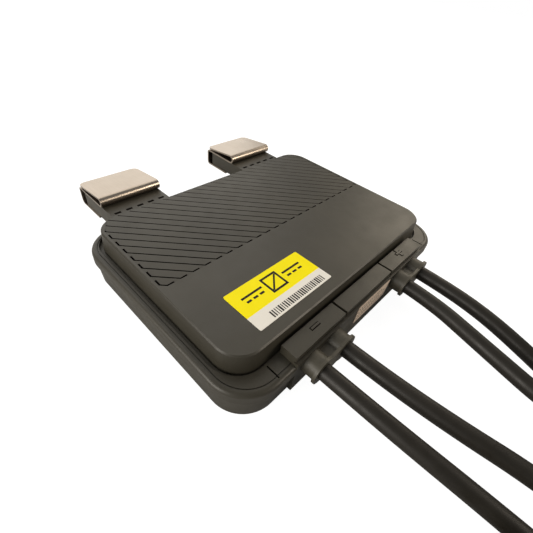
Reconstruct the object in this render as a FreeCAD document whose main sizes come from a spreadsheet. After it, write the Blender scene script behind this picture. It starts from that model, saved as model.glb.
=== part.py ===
# Solar power optimizer with two frame clips and four leads, in millimetres.
# The origin lies on the back face, under the middle of the lid. Z points away
# from the solar panel, the leads leave towards -Y and the clips reach to +Y.
import FreeCAD
import Part
import Sketcher
import math
import os
from FreeCAD import Placement, Rotation, Vector

os.makedirs("parts", exist_ok=True)
doc = FreeCAD.newDocument("PowerOptimizer")

# The driving sizes. Every other size in this file is a formula of these.
SIZES = [
    ("lid_side", 63.1, "half width of the lid's flat top"),
    ("lid_front", 44.4, "from the origin to the front edge of the flat top"),
    ("lid_back", 43.8, "from the origin to the back edge of the flat top"),
    ("lid_radius", 10.0, "corner radius of the flat top"),
    ("lid_top", 22.9, "height of the flat top"),
    ("lid_foot", 12.6, "height of the shelf that the lid stands on"),
    ("lid_flare", 0.75, "how far the lid's foot stands out past its top"),
    ("lid_wall", 2.2, "thickness of the lid's skirt and roof"),
    ("lid_edge", 0.5, "chamfer round the flat top"),
    ("rib_pitch", 3.87, "distance between two ribs, square to them"),
    ("rib_depth", 0.25, "how far each rib's near edge lies below its far edge"),
    ("groove_width", 0.8, "width of the groove in front of each rib"),
    ("groove_depth", 1.2, "depth of the groove in front of each rib"),
    ("hook_length", 3.0, "how far a groove turns along the border at each end"),
    ("rib_start", 45.3, "from the origin back to the first rib"),
    ("rib_front", 4.6, "from the origin to the front border of the ribs"),
    ("rib_border", 1.5, "plain border beside the ribs"),
    ("well_gap", 1.5, "gap round the lid's foot at the sides and the back"),
    ("well_gap_front", 0.9, "gap in front of the lid's foot"),
    ("seal_height", 0.8, "height of the seal in the gap"),
    ("shelf_width", 1.3, "how much of the lid's foot rests on the shelf"),
    ("rim_side", 68.8, "half width of the ledge"),
    ("rim_front", 53.7, "from the origin to the ledge's front edge"),
    ("rim_back", 48.2, "from the origin to the ledge's back edge"),
    ("rim_radius", 15.3, "corner radius of the ledge"),
    ("ledge_top", 15.0, "height of the ledge"),
    ("ledge_round", 1.6, "rounding of the ledge's outer edge"),
    ("ledge_foot", 10.3, "underside of the ledge"),
    ("shade_foot", 9.3, "bottom of the shadow groove under the ledge"),
    ("shade_depth", 0.8, "depth of the shadow groove"),
    ("pan_inset", 0.8, "how far the pan's wall lies behind the ledge"),
    ("pan_taper", 4.3, "slope of the pan's wall in degrees"),
    ("line_inset", 2.2, "from the ledge's edge to the fine line on it"),
    ("line_width", 0.4, "width of the fine line"),
    ("line_depth", 0.35, "depth of the fine line"),
    ("floor_thickness", 2.4, "thickness of the pan's floor"),
    ("block_top", 19.0, "height of the bridges over the leads"),
    ("block_inner", 17.5, "from the middle to a bridge's inner end"),
    ("block_outer", 45.2, "from the middle to a bridge's outer end"),
    ("block_front", 52.7, "from the origin to a bridge's front edge"),
    ("block_gap", 1.1, "slot between a bridge and the middle block"),
    ("lip_height", 2.7, "height of the bridge's front lip"),
    ("lip_groove", 0.5, "height of the groove under the front lip"),
    ("lip_groove_depth", 0.7, "depth of the groove under the front lip"),
    ("mark_length", 4.2, "length of a polarity mark"),
    ("mark_width", 0.8, "width of a polarity mark's bars"),
    ("mark_height", 0.3, "height of a polarity mark"),
    ("pad_width", 6.5, "width of the flat pad beside a bridge"),
    ("slit_width", 0.6, "width of the slit beside the pad"),
    ("slit_depth", 1.6, "depth of the slit beside the pad"),
    ("arm_middle", 38.6, "from the middle of the part to the middle of an arm"),
    ("arm_width", 28.6, "width of an arm"),
    ("arm_top", 20.0, "height of an arm"),
    ("arm_foot", 12.6, "underside of an arm"),
    ("arm_tip", 75.0, "from the origin to an arm's tip"),
    ("arm_round", 1.0, "rounding of an arm's tip"),
    ("clip_sheet", 0.8, "thickness of the clip's spring strip"),
    ("clip_width", 29.5, "width of the clip"),
    ("clip_hollow", 2.6, "hollow between the arm's tip and the clip"),
    ("clip_bend", 1.0, "inner radius of the clip's two small bends"),
    ("clip_fold", 1.53, "inner radius of the clip's fold"),
    ("clip_fold_place", 57.9, "from the origin to the middle of the fold"),
    ("clip_slope", 7.6, "slope of the clip's spring leaf in degrees"),
    ("clip_leg", 15.0, "length of the clip's leg under the arm"),
    ("clip_corner", 3.0, "corner radius of the spring leaf"),
    ("lead_inner", 24.1, "from the middle to an input lead"),
    ("lead_outer", 37.2, "from the middle to an output lead"),
    ("lead_height", 11.0, "height of the leads' middle line at the housing"),
    ("lead_diameter", 6.4, "diameter of a lead"),
    ("core_diameter", 2.3, "diameter of a lead's copper core"),
    ("sleeve_diameter", 9.4, "diameter of a strain relief's sleeve"),
    ("sleeve_seat", 3.7, "from the ledge's front edge in to a sleeve's inner end"),
    ("sleeve_reach", 5.8, "from the ledge's front edge out to a strain relief's front"),
    ("flange_thickness", 1.1, "thickness of a strain relief's front plate"),
    ("flange_rim", 0.8, "how far the front plate stands past the sleeve"),
    ("web_height", 8.2, "height of the plate between two sleeves"),
    ("web_thickness", 4.0, "thickness of the web behind that plate"),
    ("lead_seat", 47.0, "from the origin to the end of a lead's jacket"),
    ("board_side", 58.0, "half width of the circuit board"),
    ("board_front", 40.0, "from the origin to the board's front edge"),
    ("board_back", 39.0, "from the origin to the board's back edge"),
    ("board_radius", 4.0, "corner radius of the circuit board"),
    ("board_thickness", 1.6, "thickness of the circuit board"),
    ("boss_height", 2.6, "height of the bosses under the board"),
    ("boss_diameter", 6.0, "diameter of the bosses"),
    ("boss_side", 52.0, "from the middle to a boss"),
    ("boss_reach", 32.0, "from the origin to a boss, to the front or back"),
    ("core_left", 36.0, "from the middle to the inductor's left side"),
    ("core_reach", 14.0, "from the origin to the inductor's front"),
    ("core_length", 34.0, "length of the inductor's ferrite frame"),
    ("core_width", 26.0, "width of the ferrite frame"),
    ("core_height", 8.0, "height of the ferrite frame"),
    ("core_limb", 6.0, "width of the ferrite frame's outer limbs"),
    ("core_lift", 2.8, "thickness of the winding, and height of the frame above the board"),
    ("slot_length", 6.5, "length of a winding slot in the ferrite frame"),
    ("slot_width", 16.0, "width of a winding slot"),
    ("winding_play", 0.2, "gap between the winding and the ends of its slots"),
    ("film_left", 52.0, "from the middle to the film capacitors' left end"),
    ("film_reach", 20.0, "from the origin back to the film capacitors"),
    ("film_gap", 6.0, "gap between the two film capacitors"),
    ("film_length", 26.0, "length of a film capacitor"),
    ("film_width", 8.0, "width of a film capacitor"),
    ("film_height", 12.0, "height of a film capacitor"),
    ("film_round", 0.8, "rounding of a film capacitor's upright edges"),
    ("can_side", 45.0, "from the middle to the can capacitors"),
    ("can_reach", 2.0, "from the origin back to the first can capacitor"),
    ("can_pitch", 12.0, "distance between the can capacitors"),
    ("can_diameter", 10.0, "diameter of a can capacitor"),
    ("can_height", 12.0, "height of a can capacitor"),
    ("diode_left", 52.0, "from the middle to the bypass diode's left side"),
    ("diode_reach", 16.0, "from the origin to the bypass diode's front"),
    ("diode_length", 10.0, "length of the bypass diode"),
    ("diode_width", 9.0, "width of the bypass diode"),
    ("diode_height", 4.4, "height of the bypass diode"),
    ("diode_round", 0.4, "rounding of the bypass diode's upright edges"),
    ("chip_place", 12.0, "from the middle to the control chip's left side"),
    ("chip_reach", 2.0, "from the origin back to the control chip"),
    ("chip_side", 9.0, "side of the control chip"),
    ("chip_height", 1.2, "height of the control chip and the transistors"),
    ("switch_place", 4.0, "from the middle to the first transistor"),
    ("switch_reach", 18.0, "from the origin to the transistors' front"),
    ("switch_pitch", 8.0, "distance between two transistors"),
    ("switch_length", 5.2, "length of a transistor"),
    ("switch_width", 6.2, "width of a transistor"),
    ("radio_place", 26.0, "from the middle to the radio module's left side"),
    ("radio_reach", 14.0, "from the origin back to the radio module"),
    ("radio_length", 20.0, "length of the radio module"),
    ("radio_width", 15.0, "width of the radio module"),
    ("radio_thickness", 1.0, "thickness of the radio module's board"),
    ("shield_inset", 1.5, "from the module's edge to its shield can"),
    ("shield_side", 12.0, "side of the shield can"),
    ("shield_height", 2.5, "height of the shield can"),
    ("potting_top", 12.0, "height of the potting compound"),
    ("lug_width", 6.0, "width of a terminal lug"),
    ("lug_front", 38.0, "from the origin to a lug's front face"),
    ("lug_length", 8.0, "length of a lug"),
    ("lug_height", 6.6, "height of a lug above the board"),
    ("lug_end", 2.0, "wall of a lug beyond the end of its core"),
    ("label_corner", 1.0, "corner radius of the top label"),
    ("label_thickness", 0.2, "thickness of the labels"),
    ("label_left", 48.6, "from the middle to the top label's left edge"),
    ("label_right", 10.1, "from the middle to the top label's right edge"),
    ("label_front", 39.6, "from the origin to the top label's front edge"),
    ("label_back", 21.0, "from the origin to the top label's back edge"),
    ("tag_left", 8.5, "from the middle to the side label's left edge"),
    ("tag_right", 16.0, "from the middle to the side label's right edge"),
    ("tag_low", 6.5, "height of the side label's lower edge"),
    ("tag_high", 15.7, "height of the side label's upper edge"),
    ("tie_width", 6.0, "width of a coil's tie"),
    ("tie_thickness", 0.6, "thickness of a coil's tie"),
    ("coil_radius", 32.0, "middle radius of a coil"),
    ("coil_back", 152.0, "from the origin to a coil's centre"),
    ("coil_left", 66.9, "from the middle to the left coil's centre"),
    ("coil_right", 59.7, "from the middle to the right coil's centre"),
    ("plug_height", 9.5, "height of a connector's axis above the floor"),
    ("nut_diameter", 19.0, "diameter of a connector's gland nut"),
    ("nut_length", 17.0, "length of a gland nut"),
    ("barrel_diameter", 16.0, "diameter of a connector's rear barrel"),
    ("barrel_length", 17.0, "length of the rear barrel"),
    ("nose_diameter", 11.6, "diameter of a plug's nose"),
    ("nose_length", 22.0, "length of the nose or socket ahead of the barrel"),
    ("nose_bore", 8.4, "bore of a plug's nose"),
    ("shell_diameter", 17.4, "diameter of a socket's shell"),
    ("shell_bore", 12.6, "bore of a socket's shell"),
    ("tube_diameter", 8.0, "diameter of the tube inside a socket"),
    ("contact_diameter", 4.0, "diameter of a contact"),
    ("contact_recess", 5.0, "how far a contact lies behind the mouth"),
    ("mouth_depth", 18.0, "depth of a connector's mouth"),
    ("latch_width", 6.0, "width of a plug's latch arm"),
    ("latch_thickness", 1.6, "thickness of a plug's latch arm"),
    ("latch_place", 6.4, "from a plug's axis to its latch arms"),
    ("latch_short", 3.0, "how far a latch arm ends behind the nose's tip"),
    ("latch_barb", 1.0, "how far a latch arm's barb stands out"),
    ("barb_length", 4.0, "length of a latch arm's barb"),
    ("window_place", 3.2, "from a socket's mouth to its latch windows"),
    ("window_play", 0.4, "how much larger a latch window is than a barb"),
    ("thread_diameter", 15.0, "diameter of the barrel inside the gland nut"),
    ("gland_depth", 6.0, "how far a lead reaches into its gland nut"),
    ("grip_diameter", 2.4, "diameter of the grip grooves round a gland nut"),
    ("grip_start", 3.0, "plain collar of a gland nut before its grip grooves"),
    ("input_nut", 150.0, "from the origin to the input leads' gland nuts"),
    ("output_nut", 155.1, "from the origin to the output leads' gland nuts"),
]

sheet = doc.addObject("Spreadsheet::Sheet", "Size")
for row, (alias, size, note) in enumerate(SIZES, start=1):
    sheet.set(f"A{row}", note)
    sheet.set(f"B{row}", str(size))
    sheet.setAlias(f"B{row}", alias)
doc.recompute()

nodes = []


def number(formula):
    """Works out a formula of the sheet's sizes."""
    return float(sheet.evalExpression(str(formula)))


def node(thing, label):
    """Gives an object its label and lists it for export."""
    thing.Label = label
    nodes.append(thing)
    return thing


def bind(thing, **formulas):
    """Ties an object's properties to formulas of the sheet's sizes."""
    for name, formula in formulas.items():
        thing.setExpression(name, str(formula))


def place(thing, x="0", y="0", z="0", turn=None):
    """Puts an object at a place given by three formulas."""
    if turn is not None:
        thing.Placement = Placement(Vector(), turn)
    thing.setExpression("Placement.Base.x", str(x))
    thing.setExpression("Placement.Base.y", str(y))
    thing.setExpression("Placement.Base.z", str(z))
    return thing


class Outline:
    """A rounded rectangle, even about X, with its four sizes as formulas."""

    def __init__(self, side, front, back, radius):
        self.side = side
        self.front = front
        self.back = back
        self.radius = radius

    def grown(self, by, front=None):
        """Gives the outline moved outwards, in front by its own amount."""
        return Outline(
            f"{self.side} + {by}",
            f"{self.front} + {front or by}",
            f"{self.back} + {by}",
            f"{self.radius} + {by}",
        )


TOP = Outline("Size.lid_side", "Size.lid_front", "Size.lid_back", "Size.lid_radius")
FOOT = TOP.grown("Size.lid_flare")
WELL = FOOT.grown("Size.well_gap", "Size.well_gap_front")
LID_HOLLOW = FOOT.grown("(-Size.lid_wall)")
CAVITY = LID_HOLLOW.grown("(Size.lid_wall - Size.shelf_width)")
RIM = Outline("Size.rim_side", "Size.rim_front", "Size.rim_back", "Size.rim_radius")
PAN = RIM.grown("(-Size.pan_inset)")
SHADE = RIM.grown("(-Size.pan_inset - Size.shade_depth)")
BOARD = Outline("Size.board_side", "Size.board_front", "Size.board_back",
                "Size.board_radius")
LID_HEIGHT = "(Size.lid_top - Size.lid_foot)"
LID_TAPER = f"atan(Size.lid_flare / {LID_HEIGHT})"
BOARD_FOOT = "(Size.floor_thickness + Size.boss_height)"
BOARD_TOP = f"({BOARD_FOOT} + Size.board_thickness)"
SLEEVE_FRONT = "(Size.rim_front + Size.sleeve_reach)"
LEADS = {
    "output_minus": "(-Size.lead_outer)",
    "input_minus": "(-Size.lead_inner)",
    "input_plus": "(Size.lead_inner)",
    "output_plus": "(Size.lead_outer)",
}


def new_body(name):
    """Starts a body of its own."""
    return doc.addObject("PartDesign::Body", name)


def sketch_on(body, name, lift="0", role="XY_Plane"):
    """Starts a sketch on one of the body's planes, lifted by a formula."""
    plane = next(o for o in body.Origin.OriginFeatures if o.Role == role)
    sketch = body.newObject("Sketcher::SketchObject", name)
    sketch.AttachmentSupport = (plane, [""])
    sketch.MapMode = "FlatFace"
    sketch.setExpression("AttachmentOffset.Base.z", lift)
    return sketch


def constrain(sketch, kind, *where, size=None):
    """Adds one constraint, bound to a formula where it has a size."""
    if size is None:
        sketch.addConstraint(Sketcher.Constraint(kind, *where))
        return
    index = sketch.addConstraint(Sketcher.Constraint(kind, *where, number(size)))
    sketch.setExpression(f"Constraints[{index}]", size)


def draw_outline(sketch, outline):
    """Draws a rounded rectangle with its sizes bound to the sheet."""
    side, front, back, radius = (
        number(f) for f in (outline.side, outline.front, outline.back, outline.radius)
    )
    corners = [
        (Vector(side - radius, radius - front), -90),
        (Vector(side - radius, back - radius), 0),
        (Vector(radius - side, back - radius), 90),
        (Vector(radius - side, radius - front), 180),
    ]
    first = sketch.GeometryCount
    for index, (centre, start) in enumerate(corners):
        before, begin = corners[index - 1]
        turn = math.radians(start)
        out = Vector(math.cos(turn), math.sin(turn)) * radius
        sketch.addGeometry(Part.LineSegment(before + out, centre + out), False)
        circle = Part.Circle(centre, Vector(0, 0, 1), radius)
        arc = Part.ArcOfCircle(circle, turn, turn + math.pi / 2)
        sketch.addGeometry(arc, False)
    for index in range(8):
        constrain(sketch, "Tangent", first + index, 2, first + (index + 1) % 8, 1)
    for index in (0, 4):
        constrain(sketch, "Horizontal", first + index)
        constrain(sketch, "Vertical", first + index + 2)
    for index in (1, 3, 5):
        constrain(sketch, "Equal", first + index, first + index + 2)
    constrain(sketch, "Radius", first + 1, size=outline.radius)
    constrain(sketch, "DistanceY", first, 1, -1, 1, size=outline.front)
    constrain(sketch, "DistanceX", -1, 1, first + 2, 1, size=outline.side)
    constrain(sketch, "DistanceY", -1, 1, first + 4, 1, size=outline.back)
    constrain(sketch, "DistanceX", first + 6, 1, -1, 1, size=outline.side)


def draw_polygon(sketch, corners):
    """Draws a closed polygon, each corner tied to the origin by formulas."""
    points = [Vector(number(x), number(y)) for x, y in corners]
    first = sketch.GeometryCount
    count = len(points)
    for index, point in enumerate(points):
        line = Part.LineSegment(point, points[(index + 1) % count])
        sketch.addGeometry(line, False)
    for index, (x, y) in enumerate(corners):
        constrain(sketch, "Coincident", first + index - 1 if index else first + count - 1,
                  2, first + index, 1)
        constrain(sketch, "DistanceX", -1, 1, first + index, 1, size=x)
        constrain(sketch, "DistanceY", -1, 1, first + index, 1, size=y)


def draw_box(sketch, left, right, low, high):
    """Draws a rectangle between four formulas."""
    draw_polygon(sketch, [(left, low), (right, low), (right, high), (left, high)])


def draw_circle(sketch, x, y, diameter):
    """Draws a circle with its middle and size bound to the sheet."""
    middle = Vector(number(x), number(y))
    circle = Part.Circle(middle, Vector(0, 0, 1), number(diameter) / 2)
    index = sketch.addGeometry(circle, False)
    constrain(sketch, "DistanceX", -1, 1, index, 3, size=x)
    constrain(sketch, "DistanceY", -1, 1, index, 3, size=y)
    constrain(sketch, "Diameter", index, size=diameter)


def pad(body, sketch, name, length, back=False, taper=None, even=False):
    """Raises a sketch into a solid."""
    feature = body.newObject("PartDesign::Pad", name)
    feature.Profile = sketch
    feature.Reversed = back
    if even:
        feature.SideType = "Symmetric"
    bind(feature, Length=length)
    if taper is not None:
        bind(feature, TaperAngle=taper)
    return feature


def pocket(body, sketch, name, depth, back=False):
    """Cuts a sketch down into the body, or up where back is set."""
    feature = body.newObject("PartDesign::Pocket", name)
    feature.Profile = sketch
    feature.Reversed = back
    bind(feature, Length=depth)
    return feature


def edge_names(shape, chosen):
    """Names the edges that pass a test."""
    return [f"Edge{i}" for i, edge in enumerate(shape.Edges, start=1) if chosen(edge)]


def dress(body, kind, name, size, chosen):
    """Rounds or chamfers the edges of the body's last feature."""
    doc.recompute()
    last = body.Tip
    feature = body.newObject(f"PartDesign::{kind}", name)
    feature.Base = (last, edge_names(last.Shape, chosen))
    bind(feature, **{"Radius" if kind == "Fillet" else "Size": size})
    return feature


def middle_of(edge):
    """Gives the point halfway along an edge."""
    return edge.valueAt((edge.FirstParameter + edge.LastParameter) / 2)


def at_height(edge, height):
    """Tells whether an edge lies wholly at one height."""
    box = edge.BoundBox
    return abs(box.ZMin - height) < 1e-4 and abs(box.ZMax - height) < 1e-4


def is_upright(edge):
    """Tells whether an edge is a straight line along Z."""
    box = edge.BoundBox
    return box.XLength < 1e-4 and box.YLength < 1e-4


def cut(name, base, *tools):
    """Takes the tools away from the base."""
    tool = tools[0]
    if len(tools) > 1:
        tool = fuse(name + "Tools", *tools)
    result = doc.addObject("Part::Cut", name)
    result.Base = base
    result.Tool = tool
    return result


def fuse(name, *shapes):
    """Joins shapes into one."""
    result = doc.addObject("Part::MultiFuse", name)
    result.Shapes = list(shapes)
    result.Refine = True
    return result


def box(name, x, y, z, length, width, height):
    """Makes a box from its low corner and its three sizes."""
    result = doc.addObject("Part::Box", name)
    bind(result, Length=length, Width=width, Height=height)
    return place(result, x, y, z)


TO_FRONT = Rotation(Vector(1, 0, 0), 90)


def rod(name, x, y, z, diameter, length):
    """Makes a cylinder that starts at a place and runs towards -Y."""
    result = doc.addObject("Part::Cylinder", name)
    bind(result, Radius=f"{diameter} / 2", Height=length)
    return place(result, x, y, z, TO_FRONT)


def make_slab(name, outline, foot, height, taper=None, back=False):
    """Makes a plain block with a rounded outline."""
    body = new_body(name)
    sketch = sketch_on(body, name + "Outline", foot)
    draw_outline(sketch, outline)
    pad(body, sketch, name + "Pad", height, back=back, taper=taper)
    return body


def make_lid():
    """Makes the lid: a shell with a flat top and slanting ribs."""
    solid = make_slab("LidSolid", TOP, "Size.lid_top", LID_HEIGHT, LID_TAPER, back=True)
    top = number("Size.lid_top")
    dress(solid, "Chamfer", "LidEdge", "Size.lid_edge", lambda e: at_height(e, top))
    under = sketch_on(solid, "LidUnder", "Size.lid_foot")
    draw_outline(under, LID_HOLLOW)
    pocket(solid, under, "LidHollow", f"{LID_HEIGHT} - Size.lid_wall", back=True)

    shapes = [make_rib_cutters(), make_rib_field()]
    grooves = doc.addObject("Part::MultiCommon", "RibGrooves")
    grooves.Shapes = shapes
    return node(cut("Lid", solid, grooves), "top_cover")


def repeat(body, sketch, axis, spacing, count):
    """Repeats a body's one pad in a row along an axis of its sketch."""
    doc.recompute()
    row = body.newObject("PartDesign::LinearPattern", body.Name + "Row")
    row.Originals = [body.Tip]
    row.Direction = (sketch, [axis])
    row.Mode = "Spacing"
    bind(row, Offset=spacing, Occurrences=f"ceil({count})")
    body.Tip = row


def make_rib_cutters():
    """Makes what the ribs' grooves take away, before it is cut off at the borders."""
    teeth = new_body("RibTeeth")
    tooth = sketch_on(teeth, "RibTooth", role="XZ_Plane")
    tooth.AttachmentOffset = Placement(Vector(), Rotation(Vector(0, 1, 0), 45))
    start = "(-Size.rib_start)"
    foot = f"({start} + Size.groove_width)"
    end = f"({start} + Size.rib_pitch)"
    above = "(Size.lid_top + 1)"
    floor = "(Size.lid_top - Size.groove_depth)"
    draw_polygon(tooth, [
        (start, floor),
        (foot, floor),
        (foot, "Size.lid_top - Size.rib_depth"),
        (end, "Size.lid_top"),
        (end, above),
        (start, above),
    ])
    pad(teeth, tooth, "RibToothPad", "5 * Size.lid_side", even=True)
    reach = "(Size.lid_side + Size.lid_back) / sqrt(2) + Size.rib_start"
    repeat(teeth, tooth, "H_Axis", "Size.rib_pitch", f"({reach}) / Size.rib_pitch")

    spacing = "(sqrt(2) * Size.rib_pitch)"
    side = "(Size.lid_side - Size.rib_border)"
    first_y = f"({side} - sqrt(2) * Size.rib_start)"
    first_x = "(Size.rib_front - sqrt(2) * Size.rib_start)"
    hooks = []
    for name, axis, left, low, across, along, reach in (
        ("SideHooks", "V_Axis", f"-{side}", first_y, "Size.groove_width",
         "Size.hook_length", f"Size.lid_back - {first_y}"),
        ("FrontHooks", "H_Axis", first_x, "-Size.rib_front", "Size.hook_length",
         "Size.groove_width", f"{side} - {first_x}"),
    ):
        body = new_body(name)
        sketch = sketch_on(body, name + "Outline", floor)
        draw_box(sketch, left, f"{left} + {across}", low, f"{low} + {along}")
        pad(body, sketch, name + "Pad", "Size.groove_depth + 1")
        repeat(body, sketch, axis, spacing, f"({reach}) / {spacing}")
        hooks.append(body)
    return fuse("RibCutters", teeth, *hooks)


def make_rib_field():
    """Makes the region of the lid's top that the ribs fill."""
    region = new_body("RibField")
    sketch = sketch_on(region, "RibFieldOutline", "Size.lid_top - Size.lid_wall")
    side = "(Size.lid_side - Size.rib_border)"
    back = "(Size.lid_back + 2)"
    shoulder = f"({back} - Size.lid_radius)"
    bevel = f"({side} - Size.lid_radius * 0.6)"
    draw_polygon(sketch, [
        (f"-{side}", "-Size.rib_front"),
        (side, "-Size.rib_front"),
        (side, shoulder),
        (bevel, back),
        (f"-{bevel}", back),
        (f"-{side}", shoulder),
    ])
    pad(region, sketch, "RibFieldPad", "Size.lid_wall + 2")
    return region


def make_lid_outside():
    """Makes the lid's filled outside, which shapes what lies against it."""
    return make_slab("LidOutside", TOP, "Size.lid_top", LID_HEIGHT, LID_TAPER, back=True)


def make_seal(outside):
    """Makes the seal that fills the foot of the gap round the lid."""
    block = make_slab("SealBlock", WELL, "Size.lid_foot", "Size.seal_height")
    return node(cut("Seal", block, outside), "cover_seal")


def add_bridge(base, side):
    """Adds the bridge over two leads on one side, with its lip."""
    name = "Minus" if side < 0 else "Plus"
    sketch = sketch_on(base, f"{name}Bridge", "Size.ledge_foot")
    ends = sorted((f"{side} * Size.block_inner", f"{side} * Size.block_outer"), key=number)
    draw_box(sketch, *ends, "-Size.block_front", f"-({WELL.front})")
    pad(base, sketch, f"{name}BridgePad", "Size.block_top - Size.ledge_foot")


def add_front(base):
    """Adds the flat front panel under the bridges and the middle block."""
    panel = sketch_on(base, "FrontPanel")
    draw_box(panel, "-Size.block_outer", "Size.block_outer", "-Size.rim_front",
             f"-({WELL.front})")
    pad(base, panel, "FrontPanelPad", "Size.block_top - Size.lip_height")
    middle = sketch_on(base, "MiddleBlock", "Size.ledge_foot")
    end = "(Size.block_inner - Size.block_gap)"
    draw_box(middle, f"-{end}", end, "-Size.block_front", f"-({WELL.front})")
    pad(base, middle, "MiddleBlockPad", "Size.block_top - Size.ledge_foot")


def add_lip_groove(base):
    """Cuts the groove that sets the bridges' front lip off from the panel."""
    sketch = sketch_on(base, "LipGroove", "Size.block_front", "XZ_Plane")
    low = "Size.block_top - Size.lip_height"
    end = "(Size.block_inner - Size.block_gap)"
    for ends in (("-Size.block_outer", "-Size.block_inner"), (f"-{end}", end),
                 ("Size.block_inner", "Size.block_outer")):
        draw_box(sketch, *ends, low, f"{low} + Size.lip_groove")
    pocket(base, sketch, "LipGrooveCut", "Size.lip_groove_depth")


def add_arms(base):
    """Adds the two arms that carry the clips."""
    sketch = sketch_on(base, "Arms", "Size.arm_foot")
    for side in (-1, 1):
        middle = f"{side} * Size.arm_middle"
        draw_box(sketch, f"{middle} - Size.arm_width / 2", f"{middle} + Size.arm_width / 2",
                 WELL.back, "Size.arm_tip")
    pad(base, sketch, "ArmsPad", "Size.arm_top - Size.arm_foot")
    tip = number("Size.arm_tip")
    dress(base, "Fillet", "ArmTips", "Size.arm_round",
          lambda e: is_upright(e) and abs(middle_of(e).y - tip) < 1e-4)


def make_base(outside):
    """Makes the base: pan, ledge, bridges and arms, moulded as one."""
    base = new_body("Base")
    pan = sketch_on(base, "Pan", "Size.shade_foot")
    draw_outline(pan, PAN)
    pad(base, pan, "PanPad", "Size.shade_foot", back=True, taper="-Size.pan_taper")
    shade = sketch_on(base, "Shade", "Size.shade_foot")
    draw_outline(shade, SHADE)
    pad(base, shade, "ShadePad", "Size.ledge_foot - Size.shade_foot")
    ledge = sketch_on(base, "Ledge", "Size.ledge_foot")
    draw_outline(ledge, RIM)
    pad(base, ledge, "LedgePad", "Size.ledge_top - Size.ledge_foot")
    top = number("Size.ledge_top")
    dress(base, "Fillet", "LedgeRound", "Size.ledge_round", lambda e: at_height(e, top))
    line = sketch_on(base, "FineLine", "Size.ledge_top")
    draw_outline(line, RIM.grown("(-Size.line_inset)"))
    draw_outline(line, RIM.grown("(-Size.line_inset - Size.line_width)"))
    pocket(base, line, "FineLineCut", "Size.line_depth")
    add_front(base)
    add_bridge(base, -1)
    add_bridge(base, 1)
    add_lip_groove(base)
    add_arms(base)
    well = sketch_on(base, "Well", "Size.ledge_top")
    draw_outline(well, WELL)
    pocket(base, well, "WellCut", "Size.ledge_top - Size.lid_foot")
    cavity = sketch_on(base, "Cavity", "Size.lid_foot")
    draw_outline(cavity, CAVITY)
    pocket(base, cavity, "CavityCut", "Size.lid_foot - Size.floor_thickness")
    slits = sketch_on(base, "Slits", "Size.ledge_top")
    outer = "(Size.block_outer + Size.pad_width)"
    for side in (-1, 1):
        ends = sorted((f"{side} * {outer}", f"{side} * ({outer} + Size.slit_width)"), key=number)
        draw_box(slits, *ends, "-(Size.rim_front - Size.ledge_round)",
                 f"-({WELL.front} + Size.slit_width)")
    pocket(base, slits, "SlitsCut", "Size.slit_depth")
    bosses = sketch_on(base, "Bosses", "Size.floor_thickness")
    for x in ("-Size.boss_side", "Size.boss_side"):
        for y in ("-Size.boss_reach", "Size.boss_reach"):
            draw_circle(bosses, x, y, "Size.boss_diameter")
    pad(base, bosses, "BossesPad", "Size.boss_height")
    bores = sketch_on(base, "SleeveBores", "Size.rim_front", "XZ_Plane")
    jackets = sketch_on(base, "JacketBores", "Size.rim_front", "XZ_Plane")
    cores = sketch_on(base, "CoreBores", "Size.rim_front", "XZ_Plane")
    for x in LEADS.values():
        draw_circle(bores, x, "Size.lead_height", "Size.sleeve_diameter")
        draw_circle(jackets, x, "Size.lead_height", "Size.lead_diameter")
        draw_circle(cores, x, "Size.lead_height", "Size.core_diameter")
    pocket(base, bores, "SleeveBoresCut", "Size.sleeve_seat")
    pocket(base, jackets, "JacketBoresCut", "Size.rim_front - Size.lead_seat")
    pocket(base, cores, "CoreBoresCut", f"Size.rim_front - ({CAVITY.front}) + 1")
    marks = sketch_on(base, "Marks", "Size.block_top")
    across = "(Size.block_front + Size.lid_front) / 2"
    half = "Size.mark_length / 2"
    thin = "Size.mark_width / 2"
    minus = "(-(Size.lead_inner + Size.lead_outer) / 2)"
    plus = "((Size.lead_inner + Size.lead_outer) / 2)"
    draw_box(marks, f"{minus} - {half}", f"{minus} + {half}",
             f"-{across} - {thin}", f"-{across} + {thin}")
    draw_polygon(marks, [
        (f"{plus} - {half}", f"-{across} - {thin}"),
        (f"{plus} - {thin}", f"-{across} - {thin}"),
        (f"{plus} - {thin}", f"-{across} - {half}"),
        (f"{plus} + {thin}", f"-{across} - {half}"),
        (f"{plus} + {thin}", f"-{across} - {thin}"),
        (f"{plus} + {half}", f"-{across} - {thin}"),
        (f"{plus} + {half}", f"-{across} + {thin}"),
        (f"{plus} + {thin}", f"-{across} + {thin}"),
        (f"{plus} + {thin}", f"-{across} + {half}"),
        (f"{plus} - {thin}", f"-{across} + {half}"),
        (f"{plus} - {thin}", f"-{across} + {thin}"),
        (f"{plus} - {half}", f"-{across} + {thin}"),
    ])
    pad(base, marks, "MarksPad", "Size.mark_height")
    return node(base, "base_housing")


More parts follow.
